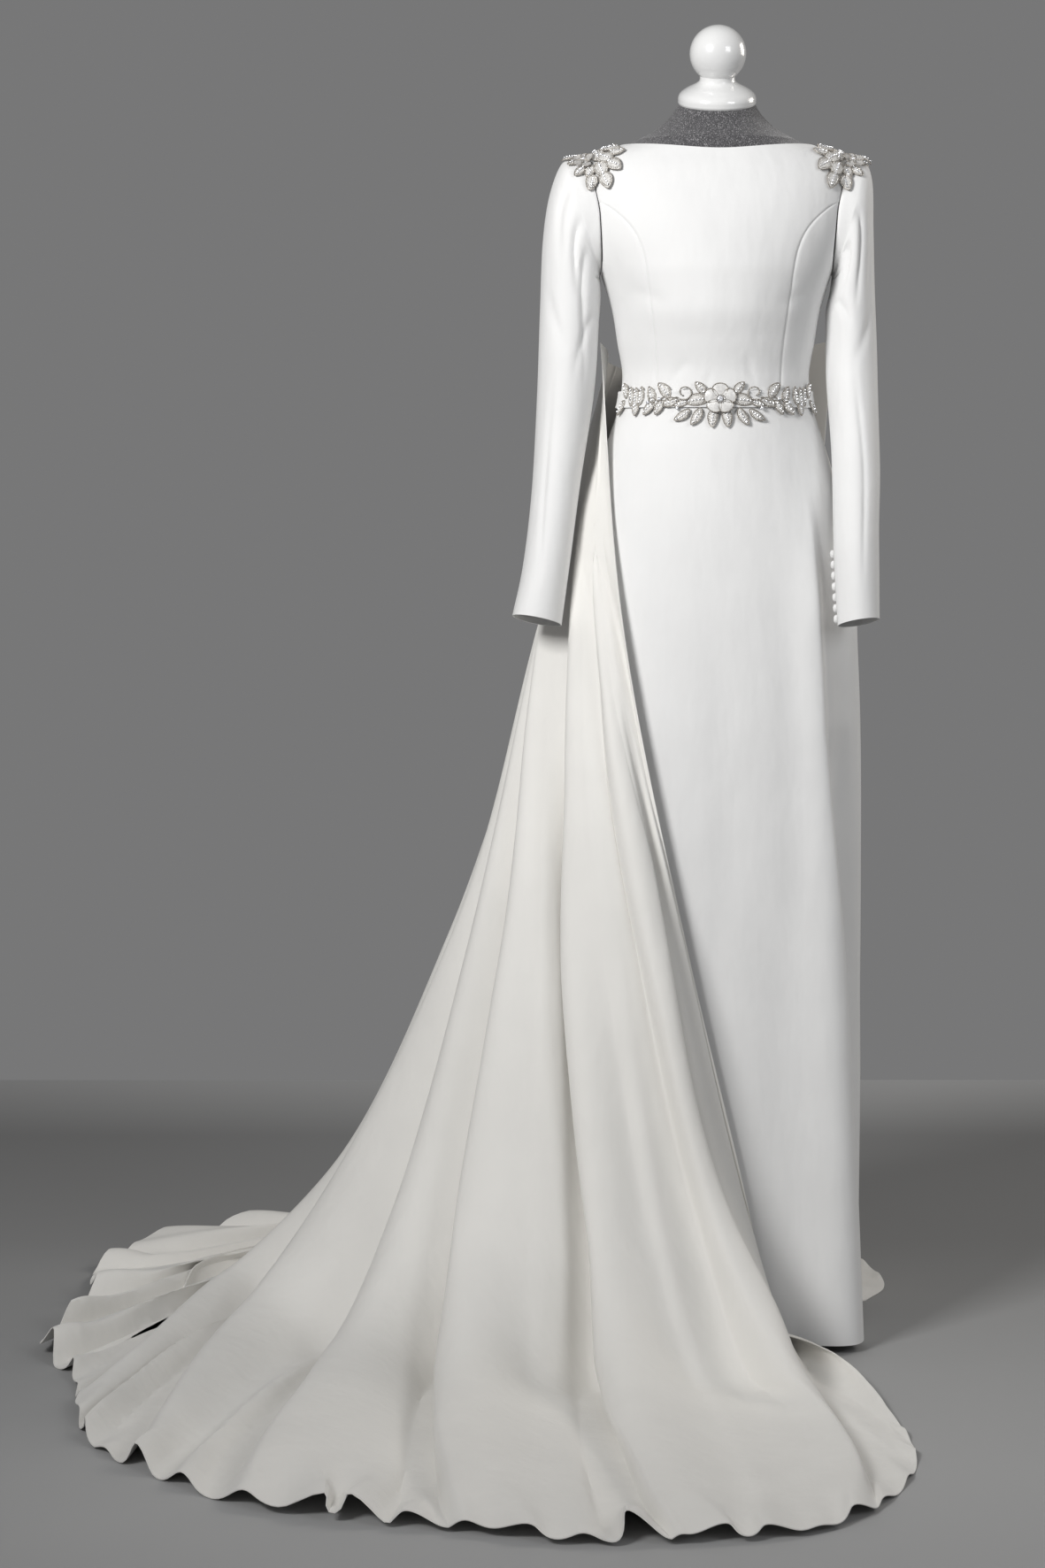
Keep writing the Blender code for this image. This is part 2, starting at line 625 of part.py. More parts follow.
def make_sleeve(name, table, side):
    surface = sleeve_surface(table, side)
    turns = [360.0 * i / SLEEVE_AROUND for i in range(SLEEVE_AROUND)]
    rows = []
    for i in range(SLEEVE_ROWS + 1):
        rows.append(row_of(surface, turns, sleeve_share(i), side, side_gap=0.0, step_u=STEP_DEG))
    flat = Vector((0.0, 1.0, 1.0))
    first = []
    for turn, outer, inner in rows[0]:
        middle = (outer + inner) / 2
        way = ((outer - inner) * flat).normalized() * (CLOTH / 2)
        first.append((turn, middle + way, middle - way))
    rows[0] = first
    return wall(name, rows, CREPE, closed=True), surface


def make_buttons(name, surface, side, turn):
    """Small domes in a line up from the cuff, along the sleeve's opening."""
    dome = bmesh.new()
    rings = []
    for share in BUTTON_RINGS:
        height = BUTTON_HEIGHT * share
        radius = BUTTON_RADIUS * math.sqrt(1 - share**2)
        ring = [dome.verts.new(polar(360 * i / BUTTON_SIDES, radius, height)) for i in range(BUTTON_SIDES)]
        rings.append(ring)
    for low, high in zip(rings, rings[1:]):
        for i in range(BUTTON_SIDES):
            dome.faces.new((low[i], low[(i + 1) % BUTTON_SIDES], high[(i + 1) % BUTTON_SIDES], high[i]))
    top = dome.verts.new((0.0, 0.0, BUTTON_HEIGHT))
    for i in range(BUTTON_SIDES):
        dome.faces.new((rings[-1][i], rings[-1][(i + 1) % BUTTON_SIDES], top))
    dome.faces.new(rings[0][::-1])
    bmesh.ops.recalc_face_normals(dome, faces=dome.faces)
    data = bpy.data.meshes.new(name)
    dome.to_mesh(data)
    dome.free()
    data.materials.append(material(CREPE))
    data.shade_smooth()
    length = (surface(180, 1.0) - surface(180, 0.9)).length / 0.1
    for i in range(BUTTONS):
        share = 1 - (BUTTON_LOWEST + BUTTON_STEP * i) / length
        normal = outward(surface, turn, share, side, STEP_DEG)
        button = bpy.data.objects.new(f"{name}_{i + 1}", data)
        button.location = surface(turn, share) + normal * (CLOTH / 2 + SEAM)
        button.rotation_mode = "QUATERNION"
        button.rotation_quaternion = normal.to_track_quat("Z", "Y")
        bpy.context.scene.collection.objects.link(button)


# ---------------------------------------------------------------- the overskirt and its train

heading = columns_of(HEADING, HEADING_COLUMNS, "deg")


def train_lines():
    """For each share of the way down a table of plan points, one for each fold line."""
    lines = []
    for row in TRAIN:
        entry = dict(zip(TRAIN_COLUMNS, row))
        waist_deg = entry["waist_deg"]
        top_z = heading["z"](waist_deg)
        stand = body_radius(waist_deg, top_z) + heading["stand_off"](waist_deg)
        points = [polar(waist_deg, stand)]
        for at in ("hip", "knee", "shin", "foot", "hem"):
            points.append(polar(entry[f"{at}_deg"], entry[f"{at}_r"]))
        heights = [top_z, HIP_Z, KNEE_Z, SHIN_Z, entry["ridge"], 0.0]
        lines.append(
            (
                through(TRAIN_LEVELS, [p.x for p in points], False),
                through(TRAIN_LEVELS, [p.y for p in points], False),
                through(TRAIN_LEVELS, heights),
            )
        )
    return lines


train = train_lines()
train_rows_cache = {}


def train_row(v):
    """Smooth functions of the fold's number for the plan and height at this share of the way down."""
    key = round(v, 6)
    if key not in train_rows_cache:
        numbers = list(range(len(train)))
        train_rows_cache[key] = [
            through(numbers, [line[axis](v) for line in train], False) for axis in range(3)
        ]
    return train_rows_cache[key]


def hem_wave(u):
    """The ruffle at the hem, uneven in spacing and size."""
    turn = 2 * math.pi * u / (len(TRAIN) - 1)
    phase = HEM_WAVES * turn
    for turns, shift in HEM_UNEVEN:
        phase += shift * math.sin(turns * turn)
    turns, least, more = HEM_WAVE_SIZES
    return math.sin(phase) * (least + more * math.sin(turns * turn + 1.0))


def train_point(u, v):
    u = min(max(u, 0.0), len(TRAIN) - 1.0)
    v = min(max(v, 0.0), 1.0)
    across, along, up = train_row(v)
    point = Vector((across(u), along(u), max(up(u), 0.0)))
    near_hem = ramp(v, HEM_WAVE_FROM, 1.0)
    if near_hem:
        wave = hem_wave(u)
        fade = ramp(u, 0.0, HEM_CALM_FRONT) * (1 - HEM_CALM * ramp(u, HEM_CALM_BACK, len(TRAIN) - 1))
        plan = Vector((point.x, point.y, 0.0))
        point += plan.normalized() * (wave * HEM_WAVE_OUT * fade * near_hem)
        point.z += max(wave, 0.0) * HEM_WAVE_UP * fade * near_hem
    corner = (1 - ramp(u, 0.0, CORNER_WIDTH)) * ramp(v, TRAIN_LEVELS[3], TRAIN_LEVELS[4])
    point.z = max(point.z, CORNER_LIFT * corner)
    deg = math.degrees(math.atan2(point.y, point.x))
    radius = math.hypot(point.x, point.y)
    if point.z > HEM_Z:
        if point.z > TRAIN_JOIN_Z:
            over = CLOTH + SEAM
        else:
            over = TRAIN_OVER_BELT if point.z > WAIST_Z else TRAIN_OVER_SKIRT
        least = body_radius(deg, point.z) + over
        if radius < least:
            point.x *= least / radius
            point.y *= least / radius
    point.z += CLOTH / 2
    return point


def make_gore(name, first, last):
    rows = []
    for steps, vs in ((TRAIN_UPPER_STEPS, TRAIN_UPPER_V), (TRAIN_LOWER_STEPS, TRAIN_LOWER_V)):
        for v in vs:
            row = row_of(train_point, even(first, last, (last - first) * steps), v)
            rows.append([(u, on_floor(outer, CLOTH), on_floor(inner, 0.0)) for u, outer, inner in row])
    return wall(name, rows, CREPE)


def on_floor(point, least_z):
    """Cloth that lies on the floor is flat underneath."""
    low = least_z + FLOOR_Z
    if point.z < low + 0.0004:
        point.z = low
    return point


# ---------------------------------------------------------------- relief


def leaf_height(across, along, leaf):
    """Height of one raised leaf at a point of the ground it lies on."""
    x, z, half_length, half_width, lean, height = leaf
    turn = math.radians(lean)
    to_x, to_z = across - x, along - z
    lengthwise = (to_x * math.cos(turn) + to_z * math.sin(turn)) / half_length
    crosswise = (to_z * math.cos(turn) - to_x * math.sin(turn)) / half_width
    inside = 1 - lengthwise**2 - crosswise**2
    return height * math.sqrt(inside) if inside > 0 else 0.0


def flower_height(across, along):
    radius = math.hypot(across, along)
    petal = 1 + 0.14 * math.cos(FLOWER_PETALS * math.atan2(across, along))
    share = radius / (FLOWER_RADIUS * petal)
    if share >= 1:
        return 0.0
    return FLOWER_HEIGHT * (0.75 + 0.25 * math.cos(3 * math.pi * share)) * math.sqrt(1 - share**2)


def belt_relief(x, z):
    leaves = max(leaf_height(abs(x), z, leaf) for leaf in BELT_LEAVES)
    return max(leaves, flower_height(x, z))


def belt_edge(x, upper):
    """The belt's edge, from its middle: it follows the leaves that reach past the ribbon."""
    reach = BELT_HALF_HEIGHT
    for leaf_x, leaf_z, half_length, half_width, lean, _ in BELT_LEAVES:
        turn = math.radians(lean)
        half_x = math.hypot(half_length * math.cos(turn), half_width * math.sin(turn))
        half_z = math.hypot(half_length * math.sin(turn), half_width * math.cos(turn))
        share = (abs(x) - leaf_x) / half_x
        if abs(share) < 1 and (leaf_z > 0) == upper:
            reach = max(reach, abs(leaf_z) + half_z * math.sqrt(1 - share**2))
    return reach


def make_belt():
    front = even(-184, 4, BELT_FRONT_COLUMNS)
    back = even(4, 176, BELT_BACK_COLUMNS)[1:-1]
    degs = front + back
    rows = []
    for k in range(BELT_ROWS + 1):
        share = 1 - 2 * k / BELT_ROWS
        row = []
        for deg in degs:
            ahead = ramp(math.sin(math.radians(-deg)), -0.12, 0.05)
            x = body_point(deg, WAIST_Z).x
            reach = belt_edge(x, share > 0)
            reach = BELT_HALF_HEIGHT + (reach - BELT_HALF_HEIGHT) * ahead
            z_off = share * reach
            normal = outward(body_point, deg, WAIST_Z + z_off, 1.0, STEP_DEG)
            base = body_point(deg, WAIST_Z + z_off) + normal * (CLOTH / 2 + BELT_GAP)
            relief = belt_relief(x, z_off) * ahead
            row.append((deg, base + normal * (BELT_RIBBON + relief), base))
        rows.append(row)
    return wall("belt", rows, APPLIQUE, closed=True)


# ---------------------------------------------------------------- shoulder applique


def tree_of(objects):
    """All the faces of these objects, for finding where a line meets them."""
    points, faces = [], []
    for one in objects:
        start = len(points)
        points += [one.matrix_world @ v.co for v in one.data.vertices]
        faces += [[start + i for i in face.vertices] for face in one.data.polygons]
    return BVHTree.FromPolygons(points, faces)


def over_shoulder(tree, x, along, side):
    """The outer point of the cloth, across the shoulder at x and this far from its top to the front.

    It is the highest of four points close round it, so that a seam's gap isn't fallen into.
    """
    past = max(x - OVER_SHOULDER_X, 0.0) / OVER_SHOULDER_RADIUS
    angle = along / OVER_SHOULDER_RADIUS
    centre_way = Vector((side * math.sin(past), -math.sin(angle), math.cos(angle) * math.cos(past)))
    centre_way.normalize()
    middle = Vector((side * min(x, OVER_SHOULDER_X), 0.0, OVER_SHOULDER_Z))
    best = 0.0
    for step_x, step_y in ((-1, -1), (-1, 1), (1, -1), (1, 1)):
        start = middle + Vector((step_x, step_y, 0.0)) * PROBE
        place, normal, _, _ = tree.ray_cast(start + centre_way * 0.3, -centre_way)
        if place and (place - start).dot(centre_way) > best:
            best = (place - start).dot(centre_way)
            facing = normal if normal.dot(centre_way) > 0 else -normal
    return middle + centre_way * best, facing


def applique_reach(turn):
    """The applique's edge from its middle, in metres across and along; its lobes are the outer leaves."""
    lobe = 1 + APPLIQUE_LOBE * math.cos(APPLIQUE_LOBES * turn)
    along = APPLIQUE_FRONT if math.sin(turn) > 0 else APPLIQUE_BACK
    narrow = 1 - 0.35 * abs(math.sin(turn)) ** 2
    width = APPLIQUE_OUTER if math.cos(turn) > 0 else APPLIQUE_INNER
    return width * math.cos(turn) * lobe * narrow, along * math.sin(turn) * lobe


def applique_relief(across, along):
    return max(leaf_height(across, along, leaf) for leaf in APPLIQUE_LEAVES)


def make_applique(name, cloth, side):
    """A lobed patch over the shoulder with raised leaves, on the bodice and the sleeve's cap."""
    tree = tree_of(cloth)
    mesh = bmesh.new()
    tops, bottoms = [], []
    for ring in range(1, APPLIQUE_RINGS + 1):
        share = ring / APPLIQUE_RINGS
        top, bottom = [], []
        for spoke in range(APPLIQUE_SPOKES):
            turn = 2 * math.pi * spoke / APPLIQUE_SPOKES
            across, along = (value * share for value in applique_reach(turn))
            place, normal = over_shoulder(tree, APPLIQUE_MIDDLE_X + across, along, side)
            relief = APPLIQUE_BASE + (applique_relief(across, along) if share < 1 else 0.0)
            bottom.append(mesh.verts.new(place + normal * APPLIQUE_CLEAR))
            top.append(mesh.verts.new(place + normal * (APPLIQUE_CLEAR + relief)))
        tops.append(top)
        bottoms.append(bottom)
    place, normal = over_shoulder(tree, APPLIQUE_MIDDLE_X, 0.0, side)
    top_out = APPLIQUE_CLEAR + APPLIQUE_BASE + applique_relief(0, 0)
    for rings, out in ((tops, top_out), (bottoms, APPLIQUE_CLEAR)):
        centre = mesh.verts.new(place + normal * out)
        for i in range(APPLIQUE_SPOKES):
            after = (i + 1) % APPLIQUE_SPOKES
            mesh.faces.new((centre, rings[0][i], rings[0][after]))
            for near, far in zip(rings, rings[1:]):
                mesh.faces.new((near[i], far[i], far[after]))
                mesh.faces.new((near[i], far[after], near[after]))
    for i in range(APPLIQUE_SPOKES):
        after = (i + 1) % APPLIQUE_SPOKES
        mesh.faces.new((tops[-1][i], tops[-1][after], bottoms[-1][after], bottoms[-1][i]))
    return finish(name, mesh, APPLIQUE)


# ---------------------------------------------------------------- the dress form


def loft(name, rings, spec):
    """A solid through the rings, closed flat at both ends."""
    mesh = bmesh.new()
    made = [[mesh.verts.new(point) for point in ring] for ring in rings]
    for low, high in zip(made, made[1:]):
        for i in range(len(low)):
            after = (i + 1) % len(low)
            mesh.faces.new((low[i], low[after], high[after], high[i]))
    mesh.faces.new(made[0][::-1])
    mesh.faces.new(made[-1])
    bmesh.ops.triangulate(mesh, faces=[face for face in mesh.faces if len(face.verts) == 4])
    return finish(name, mesh, spec)


def form_gap(z):
    """The form stands further from the cloth between its shoulders, waist and hip."""
    bust = ramp(z, 1.12, 1.20) * (1 - ramp(z, 1.30, 1.36))
    hip = 1 - ramp(z, 0.95, 1.06)
    shoulder = 1.5 * ramp(z, 1.33, 1.35) * (1 - ramp(z, SHOULDER_Z, NECKLINE_Z))
    return FORM_GAP + FORM_SLACK * max(bust, hip, shoulder)


def make_form_torso():
    degs = [360.0 * i / FORM_AROUND - 180 for i in range(FORM_AROUND)]
    rings = []
    for z in FORM_ROWS_Z:
        ring = []
        for deg in degs:
            near_z = min(z, NECKLINE_Z - STEP)
            ring.append(body_point(deg, z) - outward(body_point, deg, near_z, 1.0, STEP_DEG) * form_gap(z))
        rings.append(ring)
    for place in rings[0]:
        place.z = FORM_BOTTOM_Z
    for z, half_width, front, back in NECK:
        tilt = ramp(z, NECKLINE_Z, NECK[-1][0]) * math.tan(NECK_TILT)
        ring = []
        for deg in degs:
            x = half_width * math.cos(math.radians(deg))
            y = (front if deg < 0 else back) * math.sin(math.radians(deg))
            ring.append(Vector((x, y, z + y * tilt)))
        rings.append(ring)
    return loft("form_torso", rings, JERSEY)


def lathe(name, profile, around, spec, bottom_z=0.0):
    turns = [360.0 * i / around for i in range(around)]
    rings = [[polar(turn, radius, bottom_z + height) for turn in turns] for radius, height in profile]
    return loft(name, rings, spec)


def make_cap():
    """The turned cap of the neck and its ball, along the neck's own leaning axis."""
    profile = list(CAP)
    join = math.asin(CAP[-1][0] / BALL_RADIUS)
    for k in range(BALL_ROWS):
        angle = (math.pi - join) * (1 - (k + 1) / (BALL_ROWS + 1))
        profile.append((BALL_RADIUS * math.sin(angle), BALL_MIDDLE + BALL_RADIUS * math.cos(angle)))
    profile.append((BALL_FLAT, BALL_MIDDLE + BALL_RADIUS))
    cap = lathe("form_cap", profile, CAP_AROUND, GLOSS)
    axis = Vector((0.0, -math.sin(NECK_TILT), math.cos(NECK_TILT)))
    cap.location = Vector((0.0, 0.0, NECK[-1][0])) + axis * SEAM
    cap.rotation_euler = (NECK_TILT, 0.0, 0.0)
    return cap


def make_stand():
    lathe("stand_base", BASE, BASE_AROUND, METAL)
    foot = BASE[-1][1] + SEAM
    length = FORM_BOTTOM_Z - SEAM - foot
    lathe("stand_pole", ((POLE_RADIUS, 0.0), (POLE_RADIUS, length)), POLE_AROUND, METAL, foot)


# ---------------------------------------------------------------- all of it


def main():
    for old in list(bpy.data.objects):
        bpy.data.objects.remove(old, do_unlink=True)
    make_form_torso()
    make_cap()
    make_stand()
    bodice = make_bodice()
    make_skirt()
    for hand, table, side in (("right", SLEEVE_RIGHT, 1), ("left", SLEEVE_LEFT, -1)):
        sleeve, surface = make_sleeve(f"sleeve_{hand}", table, side)
        make_buttons(f"button_{hand}", surface, side, BUTTON_TURNS[hand])
        make_applique(f"shoulder_applique_{hand}", bodice + [sleeve], side)
    for name, first, last in GORES:
        make_gore(name, first, last)
    make_belt()


main()
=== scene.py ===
"""The looks of a long-sleeved wedding dress with an overskirt and train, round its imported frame.

Metres, +Z up, the dress faces -Y. Left and right are those of someone who looks at its front. Angles are
polar, in degrees about the Z axis: 0 is the right side, -90 the front, 90 the back. Each piece of cloth is a
thin shell round the same middle surface as its solid, with finer folds.
"""

import math

import bmesh
import bpy
import numpy as np
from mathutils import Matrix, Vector
from mathutils.bvhtree import BVHTree


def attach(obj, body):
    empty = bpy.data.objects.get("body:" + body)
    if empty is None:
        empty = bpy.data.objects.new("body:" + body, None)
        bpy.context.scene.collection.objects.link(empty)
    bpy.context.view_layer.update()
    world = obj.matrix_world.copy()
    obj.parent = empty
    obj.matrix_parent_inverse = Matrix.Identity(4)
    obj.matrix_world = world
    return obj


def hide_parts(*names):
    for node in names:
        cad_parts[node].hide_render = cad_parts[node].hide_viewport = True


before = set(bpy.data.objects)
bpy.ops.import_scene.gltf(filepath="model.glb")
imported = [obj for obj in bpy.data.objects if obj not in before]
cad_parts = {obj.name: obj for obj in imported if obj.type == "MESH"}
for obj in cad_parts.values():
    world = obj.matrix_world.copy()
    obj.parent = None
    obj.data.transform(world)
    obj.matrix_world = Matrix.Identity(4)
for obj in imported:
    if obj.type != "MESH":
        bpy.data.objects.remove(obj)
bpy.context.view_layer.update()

# ---------------------------------------------------------------- driving sizes, as in the solids

CLOTH = 0.0016  # thickness of a solid's wall
SHOWN_CLOTH = 0.0010  # thickness of the shells, but for the belt's ribbon
SEAM = 0.0003
WAIST_Z = 1.090
NECKLINE_Z = 1.384
NECKLINE_DIP = 0.008
NECKLINE_DIP_FROM_Z = 1.340
HEM_Z = 0.010
UNDERARM_Z = 1.235
SHOULDER_Z = 1.370
PRINCESS_TOP_Z = 1.3145
ARMHOLE_HALF_DEPTH = 0.052

BODY_COLUMNS = ("z", "half_width", "front", "back", "squareness")
BODY = (
    (0.010, 0.174, 0.186, 0.128, 2.9),
    (0.200, 0.175, 0.166, 0.127, 2.8),
    (0.500, 0.174, 0.143, 0.126, 2.6),
    (0.800, 0.169, 0.123, 0.125, 2.3),
    (0.880, 0.164, 0.117, 0.123, 2.2),
    (0.950, 0.153, 0.110, 0.115, 2.1),
    (1.030, 0.130, 0.098, 0.098, 2.0),
    (1.090, 0.1115, 0.088, 0.082, 2.0),
    (1.118, 0.1085, 0.088, 0.080, 2.0),
    (1.157, 0.1145, 0.096, 0.081, 2.0),
    (1.195, 0.121, 0.106, 0.084, 2.0),
    (1.235, 0.1335, 0.107, 0.089, 2.1),
    (1.250, 0.139, 0.105, 0.091, 2.15),
    (1.300, 0.156, 0.096, 0.093, 2.2),
    (1.335, 0.163, 0.085, 0.086, 2.2),
    (1.358, 0.157, 0.075, 0.077, 2.15),
    (1.370, 0.148, 0.068, 0.069, 2.1),
    (1.384, 0.112, 0.062, 0.060, 2.0),
)

# The columns are hip_deg, hem_deg, height and width_deg.
FLUTES = (
    (-42, -49, 0.034, 10),
    (-22, -20, -0.008, 10),
    (-140, -143, 0.010, 9),
    (-157, -162, -0.005, 10),
    (40, 36, 0.008, 12),
    (64, 62, -0.005, 10),
    (118, 120, -0.005, 10),
    (140, 143, 0.008, 12),
)
FLUTE_TOP_Z = 0.92

PRINCESS_COLUMNS = ("z", "x")
PRINCESS = (
    (1.090, 0.0715),
    (1.137, 0.0725),
    (1.177, 0.0765),
    (1.209, 0.0810),
    (1.237, 0.0845),
    (1.262, 0.0900),
    (1.279, 0.0975),
    (1.294, 0.1090),
    (1.305, 0.1210),
    (1.3145, 0.1335),
)

SLEEVE_COLUMNS = ("outer_x", "outer_z", "inner_x", "inner_z", "half_depth", "middle_y")
SLEEVE_RIGHT = (
    (0.1490, 1.3700, 0.1350, 1.2370, 0.0520, 0.000),
    (0.1700, 1.3670, 0.1360, 1.2345, 0.0540, 0.000),
    (0.1805, 1.3400, 0.1355, 1.2290, 0.0550, 0.000),
    (0.1820, 1.2880, 0.1335, 1.2150, 0.0530, -0.001),
    (0.1840, 1.2200, 0.1285, 1.1850, 0.0490, -0.003),
    (0.1870, 1.1300, 0.1285, 1.1250, 0.0455, -0.012),
    (0.1867, 1.0200, 0.1325, 1.0200, 0.0420, -0.054),
    (0.1820, 0.9300, 0.1310, 0.9300, 0.0370, -0.098),
    (0.1815, 0.8390, 0.1350, 0.8320, 0.0300, -0.118),
)
SLEEVE_LEFT = (
    (0.1490, 1.3700, 0.1350, 1.2370, 0.0520, 0.000),
    (0.1750, 1.3670, 0.1360, 1.2345, 0.0540, 0.000),
    (0.1925, 1.3320, 0.1355, 1.2290, 0.0550, 0.000),
    (0.2015, 1.2750, 0.1345, 1.2150, 0.0530, -0.001),
    (0.2050, 1.1900, 0.1370, 1.1800, 0.0490, -0.003),
    (0.2085, 1.0900, 0.1425, 1.1000, 0.0455, -0.010),
    (0.2145, 0.9850, 0.1585, 0.9950, 0.0420, -0.024),
    (0.2245, 0.9000, 0.1700, 0.9100, 0.0370, -0.045),
    (0.2370, 0.8410, 0.1810, 0.8300, 0.0300, -0.065),
)
SLEEVE_EDGE = 0.14
BUTTONS = 7
BUTTON_STEP = 0.0125
BUTTON_LOWEST = 0.008
BUTTON_TURNS = {"right": 188.0, "left": 215.0}
CUFF_LEAN = 0.18
CUFF_LEAN_FROM = 0.6
BUTTON_PROFILE = ((0.0048, 0.0), (0.0049, 0.0012), (0.0044, 0.0028), (0.0030, 0.0038), (0.0012, 0.0042))
BUTTON_AROUND = 20

TRAIN_COLUMNS = (
    "waist_deg", "hip_deg", "hip_r", "knee_deg", "knee_r", "shin_deg", "shin_r",
    "foot_deg", "foot_r", "hem_deg", "hem_r", "ridge",
)
TRAIN = (
    (-181, -135, 0.160, -102, 0.168, -79, 0.190, -75, 0.216, -74, 0.226, 0.028),
    (-183, -138, 0.160, -104, 0.175, -80, 0.190, -68, 0.235, -66, 0.330, 0.006),
    (-185, -141, 0.162, -106, 0.188, -83, 0.215, -70, 0.300, -70, 0.500, 0.000),
    (-187, -144, 0.164, -107, 0.204, -86, 0.245, -74, 0.360, -74, 0.640, 0.004),
    (-189, -147, 0.168, -109, 0.219, -89, 0.280, -79, 0.430, -80, 0.765, 0.026),
    (-192, -151, 0.161, -116, 0.204, -96, 0.263, -85, 0.400, -85, 0.840, 0.000),
    (-196, -157, 0.170, -125, 0.226, -106, 0.293, -95, 0.420, -89, 0.870, 0.008),
    (-200, -162, 0.176, -133.5, 0.239, -115, 0.316, -105, 0.440, -93, 0.880, 0.030),
    (-203, -168, 0.170, -139.5, 0.222, -121, 0.297, -111, 0.410, -97, 0.895, 0.000),
    (-206, -177, 0.181, -145.5, 0.247, -130, 0.338, -118.5, 0.455, -102, 0.905, 0.010),
    (-209, -181, 0.199, -151.5, 0.270, -139.5, 0.365, -125.5, 0.490, -107.5, 0.895, 0.032),
    (-213, -186, 0.196, -157, 0.255, -146, 0.352, -133, 0.475, -113, 0.905, 0.000),
    (-217, -191, 0.204, -165, 0.286, -154.5, 0.388, -142, 0.515, -122, 0.915, 0.030),
    (-221, -197, 0.203, -173, 0.276, -163, 0.390, -151, 0.510, -131, 0.895, 0.000),
    (-225, -202, 0.214, -183, 0.302, -177, 0.442, -169, 0.545, -140, 0.875, 0.028),
    (-229, -208, 0.210, -190, 0.292, -185, 0.425, -179, 0.530, -148, 0.830, 0.000),
    (-233, -214, 0.222, -197, 0.318, -193, 0.458, -188, 0.590, -158, 0.785, 0.024),
    (-237, -221, 0.216, -205, 0.298, -202, 0.435, -198, 0.555, -167, 0.800, 0.000),
    (-241, -228, 0.224, -213, 0.318, -211, 0.465, -208, 0.605, -176, 0.765, 0.024),
    (-246, -235, 0.216, -221, 0.290, -220, 0.420, -218, 0.545, -186, 0.760, 0.000),
    (-251, -242, 0.222, -230, 0.306, -229, 0.440, -228, 0.585, -197, 0.800, 0.022),
    (-257, -250, 0.210, -239, 0.272, -239, 0.385, -239, 0.495, -209, 0.800, 0.000),
    (-264, -258, 0.210, -249, 0.280, -250, 0.390, -250, 0.510, -220, 0.775, 0.022),
    (-272, -266, 0.197, -260, 0.240, -261, 0.325, -262, 0.415, -236, 0.670, 0.000),
    (-280, -275, 0.198, -271, 0.246, -273, 0.325, -275, 0.420, -256, 0.590, 0.020),
    (-288, -285, 0.184, -283, 0.210, -287, 0.258, -290, 0.315, -277, 0.490, 0.000),
    (-297, -295, 0.184, -295, 0.214, -300, 0.254, -304, 0.300, -298, 0.385, 0.018),
    (-308, -305, 0.172, -307, 0.186, -313, 0.206, -317, 0.232, -314, 0.316, 0.000),
    (-320, -313, 0.172, -318, 0.186, -325, 0.200, -329, 0.218, -328, 0.262, 0.010),
    (-333, -320, 0.168, -327, 0.178, -334, 0.186, -339, 0.192, -340, 0.204, 0.000),
)
TRAIN_LEVELS = (0.0, 0.20, 0.45, 0.63, 0.76, 1.0)
HIP_Z = 0.85
KNEE_Z = 0.45
SHIN_Z = 0.15
HEADING_COLUMNS = ("deg", "stand_off", "z")
HEADING = (
    (-333, 0.055, 1.162),
    (-320, 0.046, 1.155),
    (-306, 0.030, 1.146),
    (-292, 0.010, 1.138),
    (-281, 0.0019, 1.134),
    (-259, 0.0019, 1.131),
    (-248, 0.010, 1.129),
    (-236, 0.024, 1.128),
    (-220, 0.040, 1.129),
    (-207, 0.038, 1.136),
    (-199, 0.025, 1.143),
    (-190, 0.018, 1.151),
    (-181, 0.020, 1.157),
)
TRAIN_JOIN_Z = 1.120
TRAIN_OVER_BELT = 0.0044
TRAIN_OVER_SKIRT = 0.0070
CORNER_LIFT = 0.034
CORNER_WIDTH = 2.6
GORES = (("train_front", 0, 11), ("train_left", 11, 18), ("train_back", 18, 24), ("train_right", 24, 29))

BELT_RIBBON = 0.0016
BELT_GAP = 0.0013

APPLIQUE_MIDDLE_X = 0.146
OVER_SHOULDER_RADIUS = 0.060
OVER_SHOULDER_Z = 1.325
OVER_SHOULDER_X = 0.150

FORM_BOTTOM_Z = 0.720
FORM_GAP = 0.0026
# The columns are z, half_width, front and back.
NECK = (
    (1.3905, 0.0930, 0.0580, 0.0560),
    (1.3990, 0.0770, 0.0540, 0.0520),
    (1.4095, 0.0620, 0.0500, 0.0490),
    (1.4205, 0.0515, 0.0465, 0.0465),
    (1.4320, 0.0445, 0.0440, 0.0440),
)
NECK_TILT = math.radians(16)
# The columns are radius and height.
CAP = (
    (0.0445, 0.0000),
    (0.0455, 0.0025),
    (0.0455, 0.0060),
    (0.0430, 0.0125),
    (0.0350, 0.0185),
    (0.0260, 0.0230),
    (0.0215, 0.0262),
    (0.0205, 0.0290),
)
BALL_RADIUS = 0.0328
BALL_MIDDLE = 0.0580

# ---------------------------------------------------------------- curves through table rows


